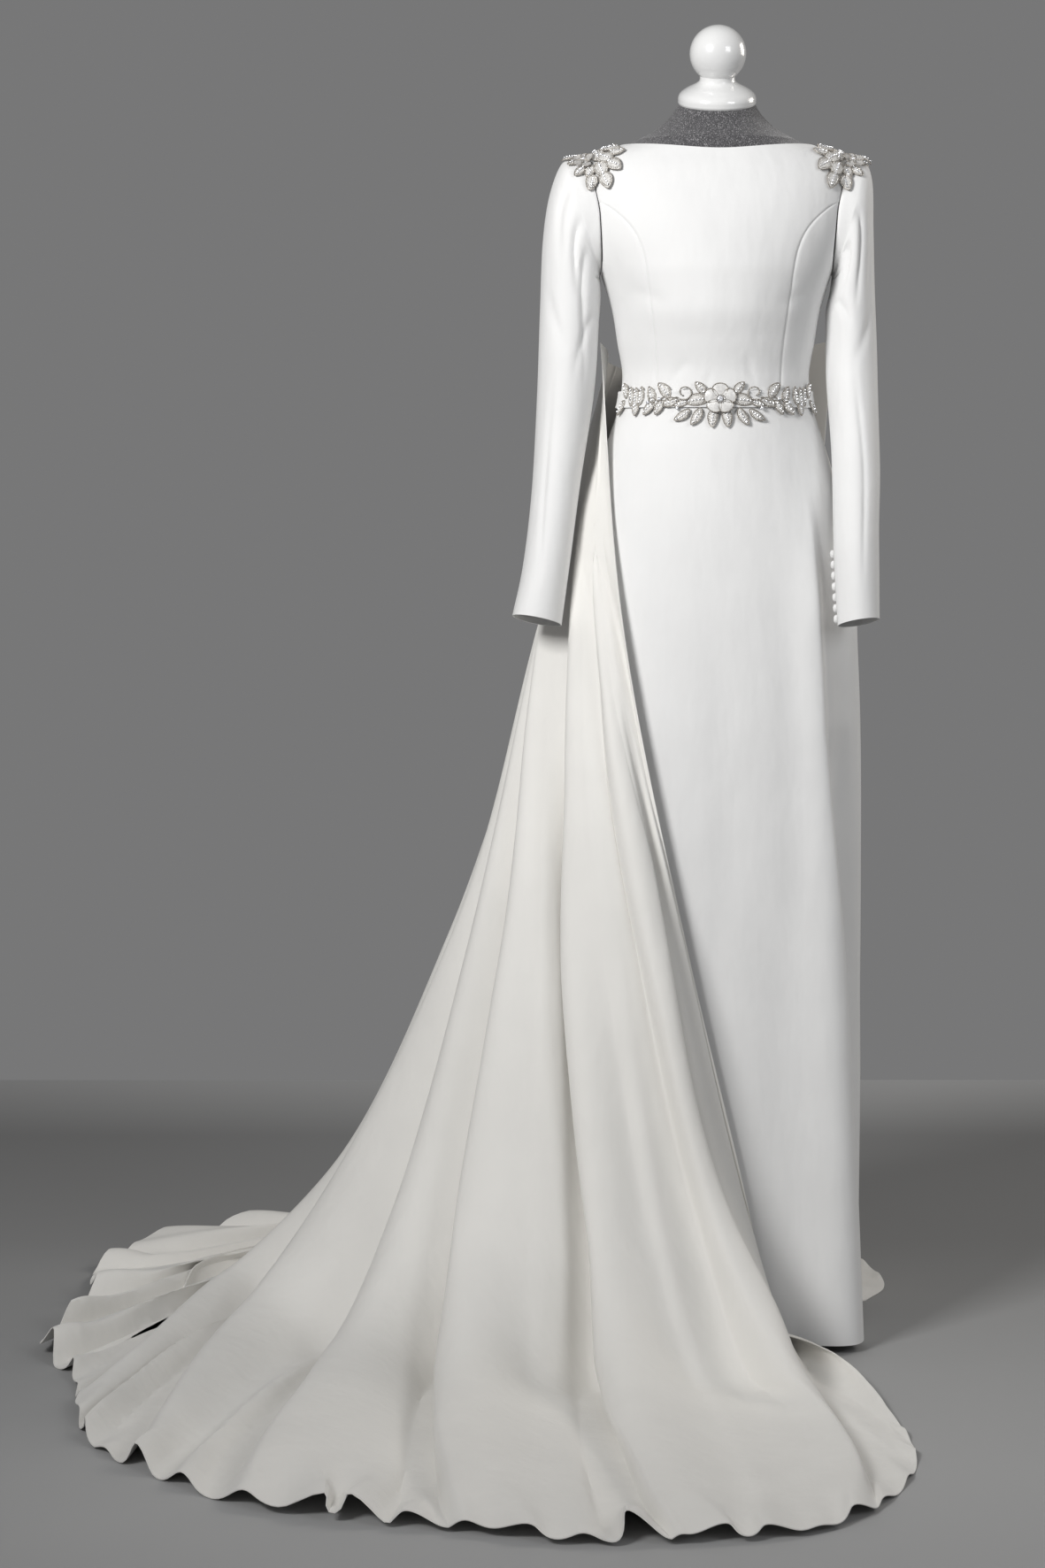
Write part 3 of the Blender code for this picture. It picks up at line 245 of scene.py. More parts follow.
def through(xs, ys, limited=True):
    """A smooth function through the points; limited keeps it from overshooting them."""
    xs, ys = np.asarray(xs, float), np.asarray(ys, float)
    steps = np.diff(xs)
    slopes = np.diff(ys) / steps
    inner = (slopes[:-1] * steps[1:] + slopes[1:] * steps[:-1]) / (steps[:-1] + steps[1:])
    if limited:
        most = 3 * np.minimum(np.abs(slopes[:-1]), np.abs(slopes[1:]))
        held = np.copysign(np.minimum(np.abs(inner), most), inner)
        inner = np.where(slopes[:-1] * slopes[1:] <= 0, 0.0, held)
    tangents = np.concatenate([slopes[:1], inner, slopes[-1:]])

    def value(x):
        i = np.clip(np.searchsorted(xs, x, side="left") - 1, 0, len(steps) - 1)
        h = steps[i]
        t = np.clip((x - xs[i]) / h, 0.0, 1.0)
        return (
            (1 + 2 * t) * (1 - t) ** 2 * ys[i]
            + t * (1 - t) ** 2 * h * tangents[i]
            + t * t * (3 - 2 * t) * ys[i + 1]
            + t * t * (t - 1) * h * tangents[i + 1]
        )

    return value


def columns_of(table, names, by):
    """For each named column, a smooth function of the column that the table is ordered by."""
    first = [row[names.index(by)] for row in table]
    return {name: through(first, [row[i] for row in table]) for i, name in enumerate(names) if name != by}


def ramp(x, start, end):
    """0 at start, 1 at end, smooth between."""
    t = np.clip((x - start) / (end - start), 0.0, 1.0)
    return t * t * (3 - 2 * t)


def polar(deg, radius, z=0.0):
    turn = np.radians(deg)
    return np.stack(np.broadcast_arrays(radius * np.cos(turn), radius * np.sin(turn), z), axis=-1) + 0.0


def crowded(count, close=(0.004, 0.010, 0.020)):
    """Shares from 0 to 1, with extra ones close to both ends, where a seam rolls in."""
    middle = np.linspace(0.0, 1.0, count + 1)[1:-1]
    close = np.asarray(close)
    return np.unique(np.concatenate([[0.0, 1.0], close, 1 - close, middle]))


# ---------------------------------------------------------------- the body's surface

body = columns_of(BODY, BODY_COLUMNS, "z")


def flute(deg, z):
    """How far the skirt's folds move its surface out."""
    deep = np.clip((FLUTE_TOP_Z - z) / FLUTE_TOP_Z, 0.0, 1.0) ** 1.2
    out = 0.0
    for hip_deg, hem_deg, height, width in FLUTES:
        away = (deg - (hip_deg + (hem_deg - hip_deg) * deep) + 180) % 360 - 180
        out = out + height * deep * np.exp(-((away / width) ** 2))
    return out


def body_radius(deg, z):
    sine = np.sin(np.radians(deg))
    across = np.abs(np.cos(np.radians(deg))) / body["half_width"](z)
    along = np.abs(sine) / np.where(sine < 0, body["front"](z), body["back"](z))
    power = body["squareness"](z)
    return (across**power + along**power) ** (-1 / power) + flute(deg, z)


def body_point(deg, z):
    return polar(deg, body_radius(deg, z), z)


def neckline_dip(deg, z):
    return NECKLINE_DIP * ramp(z, NECKLINE_DIP_FROM_Z, NECKLINE_Z) * np.sin(np.radians(deg)) ** 2


def body_deg(x, z):
    """The angle, on the front, of the body's point with this x."""
    power = body["squareness"](z)
    share = np.clip(np.abs(x) / body["half_width"](z), 0.0, 1.0)
    y = body["front"](z) * (1 - share**power) ** (1 / power)
    return np.degrees(np.arctan2(-y, x))


def armhole_depth(z):
    middle = (SHOULDER_Z + UNDERARM_Z) / 2
    share = (z - middle) / (SHOULDER_Z - middle)
    return ARMHOLE_HALF_DEPTH * np.sqrt(np.maximum(1 - share * share, 0.0))


def armhole_x(z, back):
    power = body["squareness"](z)
    depth = np.where(back, body["back"](z), body["front"](z))
    return body["half_width"](z) * (1 - (armhole_depth(z) / depth) ** power) ** (1 / power)


def side_deg(z, back=False):
    """How far from the side (0 degrees) a panel's edge lies: 0 but for the armhole."""
    return np.degrees(np.arctan2(armhole_depth(z), armhole_x(z, back)))


princess_x = columns_of(PRINCESS, PRINCESS_COLUMNS, "z")["x"]


def princess_deg(z):
    """The right princess seam; above its top, the armhole's edge."""
    return np.where(z > PRINCESS_TOP_Z + SEAM, -side_deg(z), body_deg(princess_x(z), z))


# ---------------------------------------------------------------- meshes


def put(name, points, faces, material, smooth_under=40):
    """A mesh object that rides on the dress."""
    data = bpy.data.meshes.new(name)
    data.from_pydata(np.asarray(points).tolist(), [], [list(face) for face in faces])
    data.materials.append(material)
    data.shade_smooth()
    data.set_sharp_from_angle(angle=math.radians(smooth_under))
    made = bpy.data.objects.new(name, data)
    bpy.context.scene.collection.objects.link(made)
    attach(made, "root")
    return made


def normals_of(grid, closed=False, sign=1.0):
    """The unit normal at each point of a grid of rows and columns."""
    if closed:
        grid = np.concatenate([grid[:, -1:], grid, grid[:, :1]], axis=1)
    across, along = np.gradient(grid, axis=1), np.gradient(grid, axis=0)
    if closed:
        across, along = across[:, 1:-1], along[:, 1:-1]
    normal = np.cross(across, along) * sign
    return normal / np.maximum(np.linalg.norm(normal, axis=-1, keepdims=True), 1e-12)


def grid_faces(index, flip=False):
    quads = np.stack([index[:-1, :-1], index[:-1, 1:], index[1:, 1:], index[1:, :-1]], axis=-1).reshape(-1, 4)
    return quads[:, ::-1] if flip else quads


def shell(name, grid, normals, material, closed=False, sign=1.0, thickness=SHOWN_CLOTH):
    """A thin closed shell round the grid."""
    rows, columns = grid.shape[:2]
    outer = (grid + normals * thickness / 2).reshape(-1, 3)
    inner = (grid - normals * thickness / 2).reshape(-1, 3)
    index = np.arange(rows * columns).reshape(rows, columns)
    if closed:
        index = np.concatenate([index, index[:, :1]], axis=1)
    under = index + rows * columns
    flip = sign < 0
    faces = [grid_faces(index, flip), grid_faces(under, not flip)]
    rims = [(index[0], under[0], True), (index[-1], under[-1], False)]
    if not closed:
        rims += [(index[:, 0], under[:, 0], False), (index[:, -1], under[:, -1], True)]
    for edge, other, turned in rims:
        faces.append(grid_faces(np.stack([edge, other]), turned != flip))
    return put(name, np.concatenate([outer, inner]), np.concatenate(faces), material)


def reach_along(grid, axis):
    """For each point its distance from its row's (axis 1) or its column's (axis 0) first point."""
    steps = np.linalg.norm(np.diff(grid, axis=axis), axis=-1)
    start = np.zeros((grid.shape[0], 1) if axis else (1, grid.shape[1]))
    return np.concatenate([start, np.cumsum(steps, axis=axis)], axis=axis)


def as_sheet(grid, closed=False):
    if closed:
        grid = np.concatenate([grid, grid[:, :1]], axis=1)
    width = float(reach_along(grid, 1)[:, -1].max())
    length = float(reach_along(grid, 0)[-1].max())
    across, along = np.gradient(grid, axis=1), np.gradient(grid, axis=0)
    area = float(np.linalg.norm(np.cross(across, along), axis=-1)[:-1, :-1].sum())
    area = min(max(area, 0.31 * width * length), width * length)


SEAM_DIP = 0.0012
SEAM_WIDTH = 0.0019


def rolled(grid, normals, sides=(1, 1), ends=(0, 0)):
    """The grid with its edges rolled in, as cloth is at a pressed seam."""
    dip = 0.0
    for axis, wanted in ((1, sides), (0, ends)):
        reach = reach_along(grid, axis)
        whole = reach[:, -1:] if axis else reach[-1:]
        for on, away in zip(wanted, (reach, whole - reach)):
            dip = dip + on * np.exp(-((away / SEAM_WIDTH) ** 2))
    return grid - normals * (SEAM_DIP * dip)[..., None]


def creases(table, across, along):
    """The sum of soft troughs and ridges, each from one point to another of a piece laid flat."""
    out = np.zeros(np.broadcast(across, along).shape)
    for across_0, along_0, across_1, along_1, width, height in table:
        way = np.array([across_1 - across_0, along_1 - along_0])
        length = math.hypot(*way)
        share = ((across - across_0) * way[0] + (along - along_0) * way[1]) / length**2
        side = ((across - across_0) * way[1] - (along - along_0) * way[0]) / length
        side = side + 0.05 * length * np.sin(math.pi * np.clip(share, 0, 1))
        held = np.sin(math.pi * np.clip(share, 0.0, 1.0)) ** 0.8
        out = out + height * held * np.exp(-((side / width) ** 2))
    return out


# ---------------------------------------------------------------- materials


def new_material(name, colour, roughness, **more):
    """A Principled material: (material, shader, nodes, links)."""
    made = bpy.data.materials.new(name)
    made.use_nodes = True
    tree = made.node_tree
    shader = tree.nodes["Principled BSDF"]
    shader.inputs["Base Color"].default_value = (*colour, 1.0)
    shader.inputs["Roughness"].default_value = roughness
    for key, value in more.items():
        shader.inputs[key.replace("_", " ")].default_value = value
    return made, shader, tree.nodes, tree.links


def noise(nodes, links, scale, detail=2.0, stretch=(1.0, 1.0, 1.0)):
    place = nodes.new("ShaderNodeTexCoord")
    mapping = nodes.new("ShaderNodeMapping")
    mapping.inputs["Scale"].default_value = stretch
    texture = nodes.new("ShaderNodeTexNoise")
    texture.inputs["Scale"].default_value = scale
    texture.inputs["Detail"].default_value = detail
    links.new(place.outputs["Object"], mapping.inputs["Vector"])
    links.new(mapping.outputs["Vector"], texture.inputs["Vector"])
    return texture.outputs["Fac"]


def colours(nodes, links, factor, stops, target):
    """The factor drives the target socket through a ramp of (place, colour)."""
    blend = nodes.new("ShaderNodeValToRGB")
    while len(blend.color_ramp.elements) < len(stops):
        blend.color_ramp.elements.new(0.5)
    for element, (place, colour) in zip(blend.color_ramp.elements, stops):
        element.position = place
        element.color = (*colour, 1.0)
    links.new(factor, blend.inputs["Fac"])
    links.new(blend.outputs["Color"], target)


def bumps(nodes, links, heights, shader):
    """A chain of bumps from (height socket, distance)."""
    last = None
    for height, distance in heights:
        bump = nodes.new("ShaderNodeBump")
        bump.inputs["Distance"].default_value = distance
        links.new(height, bump.inputs["Height"])
        if last:
            links.new(last, bump.inputs["Normal"])
        last = bump.outputs["Normal"]
    links.new(last, shader.inputs["Normal"])


def crepe_material(name, bright, warm):
    """Matte bridal crepe: a fine pebbled weave with a soft sheen."""
    made, shader, nodes, links = new_material(
        name, (0.86, 0.85, 0.83), 0.62, Sheen_Weight=0.25, Sheen_Roughness=0.35, Specular_IOR_Level=0.28
    )
    broad = noise(nodes, links, 9.0, 3.0)
    light = (bright, bright * (1 - 0.3 * warm), bright * (1 - warm))
    shade = tuple(value * 0.965 for value in light)
    colours(nodes, links, broad, ((0.35, shade), (0.65, light)), shader.inputs["Base Color"])
    pebble = noise(nodes, links, 2100.0, 2.0, (1.0, 1.0, 1.3))
    limp = noise(nodes, links, 38.0, 2.0, (1.0, 1.0, 0.35))
    bumps(nodes, links, ((limp, 0.0016), (pebble, 0.00022)), shader)
    return made


def patched_material(name, colour, roughness, patches, stops, grain, depth, **more):
    """Patches of colour and a grain, each a noise of (scale, detail); depth is the grain's, in metres."""
    made, shader, nodes, links = new_material(name, colour, roughness, **more)
    colours(nodes, links, noise(nodes, links, *patches), stops, shader.inputs["Base Color"])
    bumps(nodes, links, ((noise(nodes, links, *grain), depth),), shader)
    return made


crepe = crepe_material("crepe_cloth", 0.86, 0.004)
train_crepe = crepe_material("overskirt_crepe", 0.87, 0.052)
# dark heather jersey with pale flecks and fine ribs
jersey = patched_material(
    "form_jersey_knit", (0.1, 0.1, 0.11), 0.92, (850.0, 3.0),
    ((0.40, (0.055, 0.054, 0.058)), (0.56, (0.095, 0.093, 0.098)), (0.66, (0.36, 0.35, 0.36))),
    (1400.0, 1.0, (1.0, 1.0, 0.25)), 0.0006, Sheen_Weight=0.3,
)
# white lacquered wood
gloss = patched_material(
    "cap_lacquer", (0.86, 0.86, 0.85), 0.22, (26.0, 2.0), ((0.3, (0.80, 0.80, 0.80)), (0.7, (0.86, 0.86, 0.855))),
    (90.0, 2.0), 0.0002, Coat_Weight=0.9, Coat_Roughness=0.04,
)
# black satin metal of the stand
metal = patched_material(
    "stand_satin_metal", (0.05, 0.05, 0.055), 0.38, (60.0, 4.0),
    ((0.3, (0.04, 0.04, 0.045)), (0.75, (0.09, 0.09, 0.095))),
    (700.0, 2.0, (1.0, 1.0, 0.05)), 0.0002, Metallic=0.8,
)
# silver-lined glass and metal beads
silver = patched_material(
    "silver_beads", (0.74, 0.73, 0.71), 0.25, (420.0, 1.0), ((0.36, (0.50, 0.48, 0.45)), (0.62, (0.88, 0.86, 0.83))),
    (1600.0, 1.0), 0.0002, Metallic=0.55,
)
crystal = patched_material(
    "crystals", (0.86, 0.88, 0.92), 0.05, (300.0, 1.0), ((0.35, (0.42, 0.43, 0.47)), (0.6, (0.95, 0.96, 1.0))),
    (500.0, 1.0), 0.0006, Coat_Weight=1.0, Coat_Roughness=0.02, Metallic=0.35,
)
pearl = patched_material(
    "pearl_petals", (0.82, 0.81, 0.79), 0.28, (200.0, 2.0), ((0.3, (0.62, 0.61, 0.60)), (0.7, (0.90, 0.89, 0.87))),
    (900.0, 2.0), 0.0004, Coat_Weight=0.6, Coat_Roughness=0.1, Sheen_Weight=0.2,
)
# the grey net and thread under the beads
netting = patched_material(
    "bead_netting", (0.74, 0.73, 0.71), 0.45, (900.0, 3.0), ((0.36, (0.52, 0.50, 0.47)), (0.58, (0.88, 0.87, 0.85))),
    (1300.0, 2.0), 0.0008, Metallic=0.15,
)
# dull silver thread wound round a cord, its tone darkened past the silver's own to paint the shade that falls along the
# leaves' outlines
cord_silver_and_shade = patched_material(
    "silver_cord_and_painted_shade", (0.40, 0.37, 0.33), 0.38, (700.0, 2.0),
    ((0.35, (0.30, 0.27, 0.235)), (0.65, (0.60, 0.565, 0.52))), (2600.0, 2.0), 0.0004, Metallic=0.6,
)
# thin grey organza
organza = patched_material(
    "organza", (0.60, 0.59, 0.57), 0.5, (1500.0, 1.0), ((0.35, (0.46, 0.45, 0.44)), (0.65, (0.74, 0.73, 0.71))),
    (240.0, 2.0), 0.0008, Alpha=0.72, Sheen_Weight=0.5, Sheen_Roughness=0.3,
)

# ---------------------------------------------------------------- bodice

BODICE_STEP = 0.0038
# Soft lines pressed into the cloth: from (degrees, height) to (degrees, height), width and height in metres.
BODICE_CREASES = (
    (-128, 1.105, -112, 1.135, 0.006, -0.0012),
    (-60, 1.105, -72, 1.140, 0.006, -0.0012),
    (-150, 1.215, -122, 1.196, 0.008, -0.0010),
    (-30, 1.215, -56, 1.198, 0.008, -0.0010),
    (-100, 1.100, -96, 1.122, 0.005, -0.0008),
    (40, 1.110, 62, 1.150, 0.008, -0.0012),
    (140, 1.110, 118, 1.150, 0.008, -0.0012),
    (60, 1.240, 76, 1.200, 0.008, -0.0010),
    (120, 1.240, 104, 1.200, 0.008, -0.0010),
)
DEG_WIDTH = 0.0019  # metres of cloth to a degree, about
# The skirt's long side flutes: (height, degrees of the edge, hollow beside it, rise of the edge); 1 or -1 is the
# side it drops to. Above its lower end the form leaves the cloth only a few millimetres.
SIDE_FLUTES = (
    (1, ((0.99, -35.4, 0.0, 0.0), (0.94, -36.8, 0.0022, 0.003), (0.90, -38.0, 0.0032, 0.0055),
         (0.83, -39.6, 0.0034, 0.0075), (0.714, -41.4, 0.0034, 0.0085), (0.675, -41.2, 0.012, 0.0075),
         (0.615, -41.0, 0.019, 0.0065), (0.483, -39.6, 0.024, 0.0055), (0.254, -38.6, 0.025, 0.0055),
         (0.14, -38.6, 0.024, 0.005), (0.0, -39.0, 0.023, 0.005))),
    (-1, ((0.99, 44.0, 0.0, 0.0), (0.90, 44.0, 0.003, 0.003), (0.714, 43.0, 0.0034, 0.005),
          (0.64, 42.5, 0.011, 0.004), (0.45, 41.0, 0.016, 0.004), (0.0, 40.0, 0.016, 0.004))),
)


def side_flutes(degs, zs):
    """The rounded edge of each long flute and the hollow beside it."""
    lift = np.zeros(degs.shape)
    for side, rows in SIDE_FLUTES:
        heights, edges, depths, rises = (list(column)[::-1] for column in zip(*rows))
        away = (degs - np.interp(zs, heights, edges)) * side
        hollow = ramp(away, -0.5, 4.0) * (1 - ramp(away, 8.0, 30.0))
        lift = lift - np.interp(zs, heights, depths) * hollow
        lift = lift + np.interp(zs, heights, rises) * np.exp(-(((away + 2.5) / np.where(away < -2.5, 9.0, 2.6)) ** 2))
    return lift


def body_grid(left_deg, right_deg, shares, heights, table):
    """A panel of the body between two edges, with its creases: (points, normals)."""
    zs = heights[:, None]
    left, right = left_deg(zs), right_deg(zs)
    degs = left + (right - left) * shares[None, :]
    grid = body_point(degs, zs - neckline_dip(degs, zs))
    normals = normals_of(grid)
    scaled = [(a * DEG_WIDTH, b, c * DEG_WIDTH, d, w, h) for a, b, c, d, w, h in table]
    lift = creases(scaled, degs * DEG_WIDTH, zs) + side_flutes(degs, zs)
    return grid + normals * lift[..., None], normals


def make_body_panel(name, left_deg, right_deg, low, high, count, table=BODICE_CREASES, step=BODICE_STEP):
    heights = np.linspace(low, high, max(int((high - low) / step), 2) + 1)
    grid, normals = body_grid(left_deg, right_deg, crowded(count), heights, table)
    grid = rolled(grid, normals)
    made = shell(name + "_cloth", grid, normals_of(grid), crepe)
    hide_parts(name)
    as_sheet(grid)
    return made


def flat_edge(deg):
    return lambda z: np.full(np.shape(z), float(deg))


low = WAIST_Z + SEAM / 2
bodice = [
    make_body_panel(
        "bodice_front", lambda z: -180 - princess_deg(z), princess_deg, low, NECKLINE_Z, 64
    ),
    make_body_panel(
        "bodice_side_front_right", princess_deg, lambda z: -side_deg(z), low, PRINCESS_TOP_Z, 22
    ),
    make_body_panel(
        "bodice_side_front_left", lambda z: side_deg(z) - 180, lambda z: -180 - princess_deg(z), low, PRINCESS_TOP_Z, 22
    ),
    make_body_panel("bodice_back_right", lambda z: side_deg(z, True), flat_edge(90), low, NECKLINE_Z, 40),
    make_body_panel("bodice_back_left", flat_edge(90), lambda z: 180 - side_deg(z, True), low, NECKLINE_Z, 40),
]

# ---------------------------------------------------------------- skirt

SKIRT_CREASES = (
    (-66, 0.94, -63, 0.42, 0.016, -0.0022),
    (-80, 0.60, -78, 0.10, 0.020, -0.0018),
    (-100, 0.90, -103, 0.30, 0.018, -0.0018),
    (-122, 0.70, -126, 0.06, 0.018, -0.0022),
    (-38, 0.95, -34, 0.60, 0.012, -0.0018),
    (-12, 0.90, -14, 0.30, 0.014, -0.0020),
    (-96, 1.020, -70, 0.985, 0.012, -0.0010),
    (-120, 1.015, -92, 0.975, 0.012, -0.0010),
    (-64, 1.045, -38, 1.020, 0.010, -0.0010),
    (25, 0.92, 22, 0.30, 0.016, -0.0022),
    (78, 0.90, 74, 0.20, 0.018, -0.0022),
    (104, 0.92, 106, 0.25, 0.018, -0.0022),
    (158, 0.90, 160, 0.20, 0.016, -0.0022),
    (60, 1.020, 86, 0.985, 0.012, -0.0010),
)
SKIRT_STEP = 0.0090
for name, left, right, count in (
    ("skirt_front", -180, 0, 210),
    ("skirt_back_right", 0, 90, 64),
    ("skirt_back_left", 90, 180, 64),
):
    make_body_panel(
        name, flat_edge(left), flat_edge(right), HEM_Z, WAIST_Z - SEAM / 2, count, SKIRT_CREASES, SKIRT_STEP
    )

# ---------------------------------------------------------------- sleeves

SLEEVE_ARMHOLE_CLEAR = 0.0004
# From (degrees round from the outer line through the front, share of its length) to the same.
SLEEVE_BACK_CREASES = (
    (230, 0.15, 250, 0.60, 0.0080, -0.0030),
    (290, 0.20, 280, 0.75, 0.0080, -0.0030),
    (320, 0.48, 260, 0.58, 0.0070, -0.0026),
)
SLEEVE_LEFT_CREASES = (
    (96, 0.13, 104, 0.46, 0.0060, -0.0044),
    (60, 0.10, 66, 0.40, 0.0070, -0.0030),
    (120, 0.20, 130, 0.62, 0.0060, -0.0038),
    (40, 0.46, 92, 0.56, 0.0070, -0.0022),
    (150, 0.47, 100, 0.60, 0.0060, -0.0026),
    (60, 0.60, 84, 0.94, 0.0060, -0.0020),
    (170, 0.24, 140, 0.33, 0.0050, -0.0020),
) + SLEEVE_BACK_CREASES
SLEEVE_RIGHT_CREASES = (
    (88, 0.14, 84, 0.52, 0.0065, -0.0038),
    (124, 0.16, 116, 0.42, 0.0060, -0.0038),
    (46, 0.20, 60, 0.58, 0.0070, -0.0018),
    (150, 0.44, 96, 0.55, 0.0060, -0.0026),
    (40, 0.53, 100, 0.62, 0.0070, -0.0020),
    (94, 0.62, 82, 0.95, 0.0060, -0.0020),
    (168, 0.24, 136, 0.32, 0.0050, -0.0018),
) + SLEEVE_BACK_CREASES
SLEEVE_LENGTH = 0.56
SLEEVE_DEG_WIDTH = 0.0009  # metres of cloth to a degree round a sleeve, about


def sleeve_place(table, side, turns, shares):
    """The sleeve's middle surface: turn in degrees from the outer line through the front, share along."""
    at = np.linspace(0.0, 1.0, len(table))
    line = {name: through(at, [row[i] for row in table])(shares) for i, name in enumerate(SLEEVE_COLUMNS)}
    cosine, sine = np.cos(np.radians(turns)), np.sin(np.radians(turns))
    x = (line["outer_x"] + line["inner_x"]) / 2 + (line["outer_x"] - line["inner_x"]) / 2 * cosine
    z = (line["outer_z"] + line["inner_z"]) / 2 + (line["outer_z"] - line["inner_z"]) / 2 * cosine
    y = line["middle_y"] - line["half_depth"] * sine
    z = z + CUFF_LEAN * ramp(shares, CUFF_LEAN_FROM, 1.0) * line["half_depth"] * sine
    at_edge = 1 - ramp(shares, 0.0, SLEEVE_EDGE)
    edge_x = armhole_x(np.clip(z, UNDERARM_Z, SHOULDER_Z), y > 0) + SLEEVE_ARMHOLE_CLEAR
    x = x + at_edge * (edge_x - x)
    return np.stack(np.broadcast_arrays(x * side, y, z), axis=-1)


SLEEVE_AROUND = 96
SLEEVE_ROWS = 110
sleeves = {}
for hand, table, side, lines in (
    ("right", SLEEVE_RIGHT, 1, SLEEVE_RIGHT_CREASES),
    ("left", SLEEVE_LEFT, -1, SLEEVE_LEFT_CREASES),
):
    turns = np.arange(SLEEVE_AROUND)[None, :] * (360.0 / SLEEVE_AROUND)
    even = np.linspace(0.0, 1.0, SLEEVE_ROWS + 1)
    shares = np.unique(np.concatenate([0.6 * even + 0.4 * even**2, [0.0015, 0.003, 0.006]]))[:, None]
    grid = sleeve_place(table, side, turns, shares)
    normals = normals_of(grid, closed=True, sign=side)
    lift = 0.0
    for shift in (-360, 0, 360):
        scaled = [
            (
                (a + shift) * SLEEVE_DEG_WIDTH, b * SLEEVE_LENGTH,
                (c + shift) * SLEEVE_DEG_WIDTH, d * SLEEVE_LENGTH, w, h,
            )
            for a, b, c, d, w, h in lines
        ]
        lift = lift + creases(scaled, turns * SLEEVE_DEG_WIDTH, shares * SLEEVE_LENGTH)
    grid = grid + normals * lift[..., None]
    grid = rolled(grid, normals, (0, 0), (1, 0))
    made = shell(f"sleeve_{hand}_cloth", grid, normals_of(grid, True, side), crepe, closed=True, sign=side)
    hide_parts(f"sleeve_{hand}")
    as_sheet(grid, closed=True)
    sleeves[hand] = made


def surface_at(table, side, turn, share):
    """(point, unit normal) on the sleeve."""
    step_turn, step = 0.5, 0.002
    turns = np.array([turn, turn + step_turn, turn - step_turn, turn, turn])
    shares = np.array([share, share, share, share + step, share - step])
    shares = np.clip(shares, 0, 1)
    points = sleeve_place(table, side, turns, shares)
    normal = np.cross(points[1] - points[2], points[3] - points[4]) * side
    return points[0], normal / np.linalg.norm(normal)

# ---------------------------------------------------------------- beads, cords and leaves


def ball(radius=1.0, finer=2):
    mesh = bmesh.new()
    bmesh.ops.create_icosphere(mesh, subdivisions=finer, radius=radius)
    points = np.array([v.co[:] for v in mesh.verts])
    faces = np.array([[v.index for v in face.verts] for face in mesh.faces])
    mesh.free()
    return points, faces


class Parts:
    """Small parts of one material, gathered into one object."""

    def __init__(self):
        self.points, self.faces, self.count = [], [], 0

    def add(self, points, faces):
        points = np.asarray(points, float).reshape(-1, 3)
        self.points.append(points)
        self.faces += [[int(i) + self.count for i in face] for face in faces]
        self.count += len(points)

    def beads(self, places, radii, finer=2):
        """A ball at each place."""
        points, faces = ball(1.0, finer)
        radii = np.broadcast_to(np.asarray(radii, float), (len(places),))
        for place, radius in zip(places, radii):
            self.add(points * radius + place, faces)

    def cord(self, path, radius, around=6):
        """A round cord along the path."""
        path = np.asarray(path, float)
        along = np.gradient(path, axis=0)
        along = along / np.linalg.norm(along, axis=1, keepdims=True)
        up = np.where(np.abs(along[:, 2:]) > 0.9, [[1.0, 0.0, 0.0]], [[0.0, 0.0, 1.0]])
        first = np.cross(along, up)
        first = first / np.linalg.norm(first, axis=1, keepdims=True)
        second = np.cross(along, first)
        turn = np.linspace(0, 2 * math.pi, around, endpoint=False)
        ring = np.cos(turn)[None, :, None] * first[:, None] + np.sin(turn)[None, :, None] * second[:, None]
        points = path[:, None] + ring * radius
        index = np.arange(len(path) * around).reshape(len(path), around)
        index = np.concatenate([index, index[:, :1]], axis=1)
        faces = grid_faces(index).tolist()
        self.add(points, faces)

    def sheet(self, grid):
        """One side of cloth or net, as a grid of points."""
        rows, columns = grid.shape[:2]
        self.add(grid, grid_faces(np.arange(rows * columns).reshape(rows, columns)))

    def made(self, name, material, slot, smooth_under=60):
        return put(name, np.concatenate(self.points), self.faces, material, smooth_under)


LEAF_BEND = 0.22
CORD = 0.00062
SEED_BEAD = 0.00078
SEED_BEAD_STEP = 0.00205
BEAD_LINE = 0.76  # where a leaf's beads lie, as a share of its outline


def leaf_outline(leaf, share, inset=1.0, blunt=False):
    """The leaf's outline, pointed at both ends and a little bent: share 0 to 1 goes round it from its tip."""
    x, z, half_length, half_width, lean = leaf[:5]
    turn = 2 * math.pi * share
    length = np.cos(turn) * half_length * inset
    side = np.sin(turn)
    if blunt:
        width = side * half_width * inset * (1 + 0.25 * np.cos(turn))
    else:
        width = side * np.abs(side) ** 0.45 * half_width * inset * (1 - 0.12 * np.cos(turn))
        width = width + LEAF_BEND * half_width * (length / half_length) ** 2 * (1 if lean % 2 else -1)
    lean = math.radians(lean)
    return x + length * math.cos(lean) - width * math.sin(lean), z + length * math.sin(lean) + width * math.cos(lean)


def add_ground(sheets, place, leaf, insets, count, out, blunt):
    """The padded ground of a leaf: a row for each inset of its outline, out(inset) from the cloth."""
    shares = np.linspace(0, 1, count)
    sheets.sheet(np.array([place(*leaf_outline(leaf, shares, inset, blunt), out(inset)) for inset in insets]))


def add_edge(cords, place, leaf, count, out, radius, blunt):
    """A cord round a leaf."""
    cords.cord(place(*leaf_outline(leaf, np.linspace(0, 1, count), 1.0, blunt), out), radius)


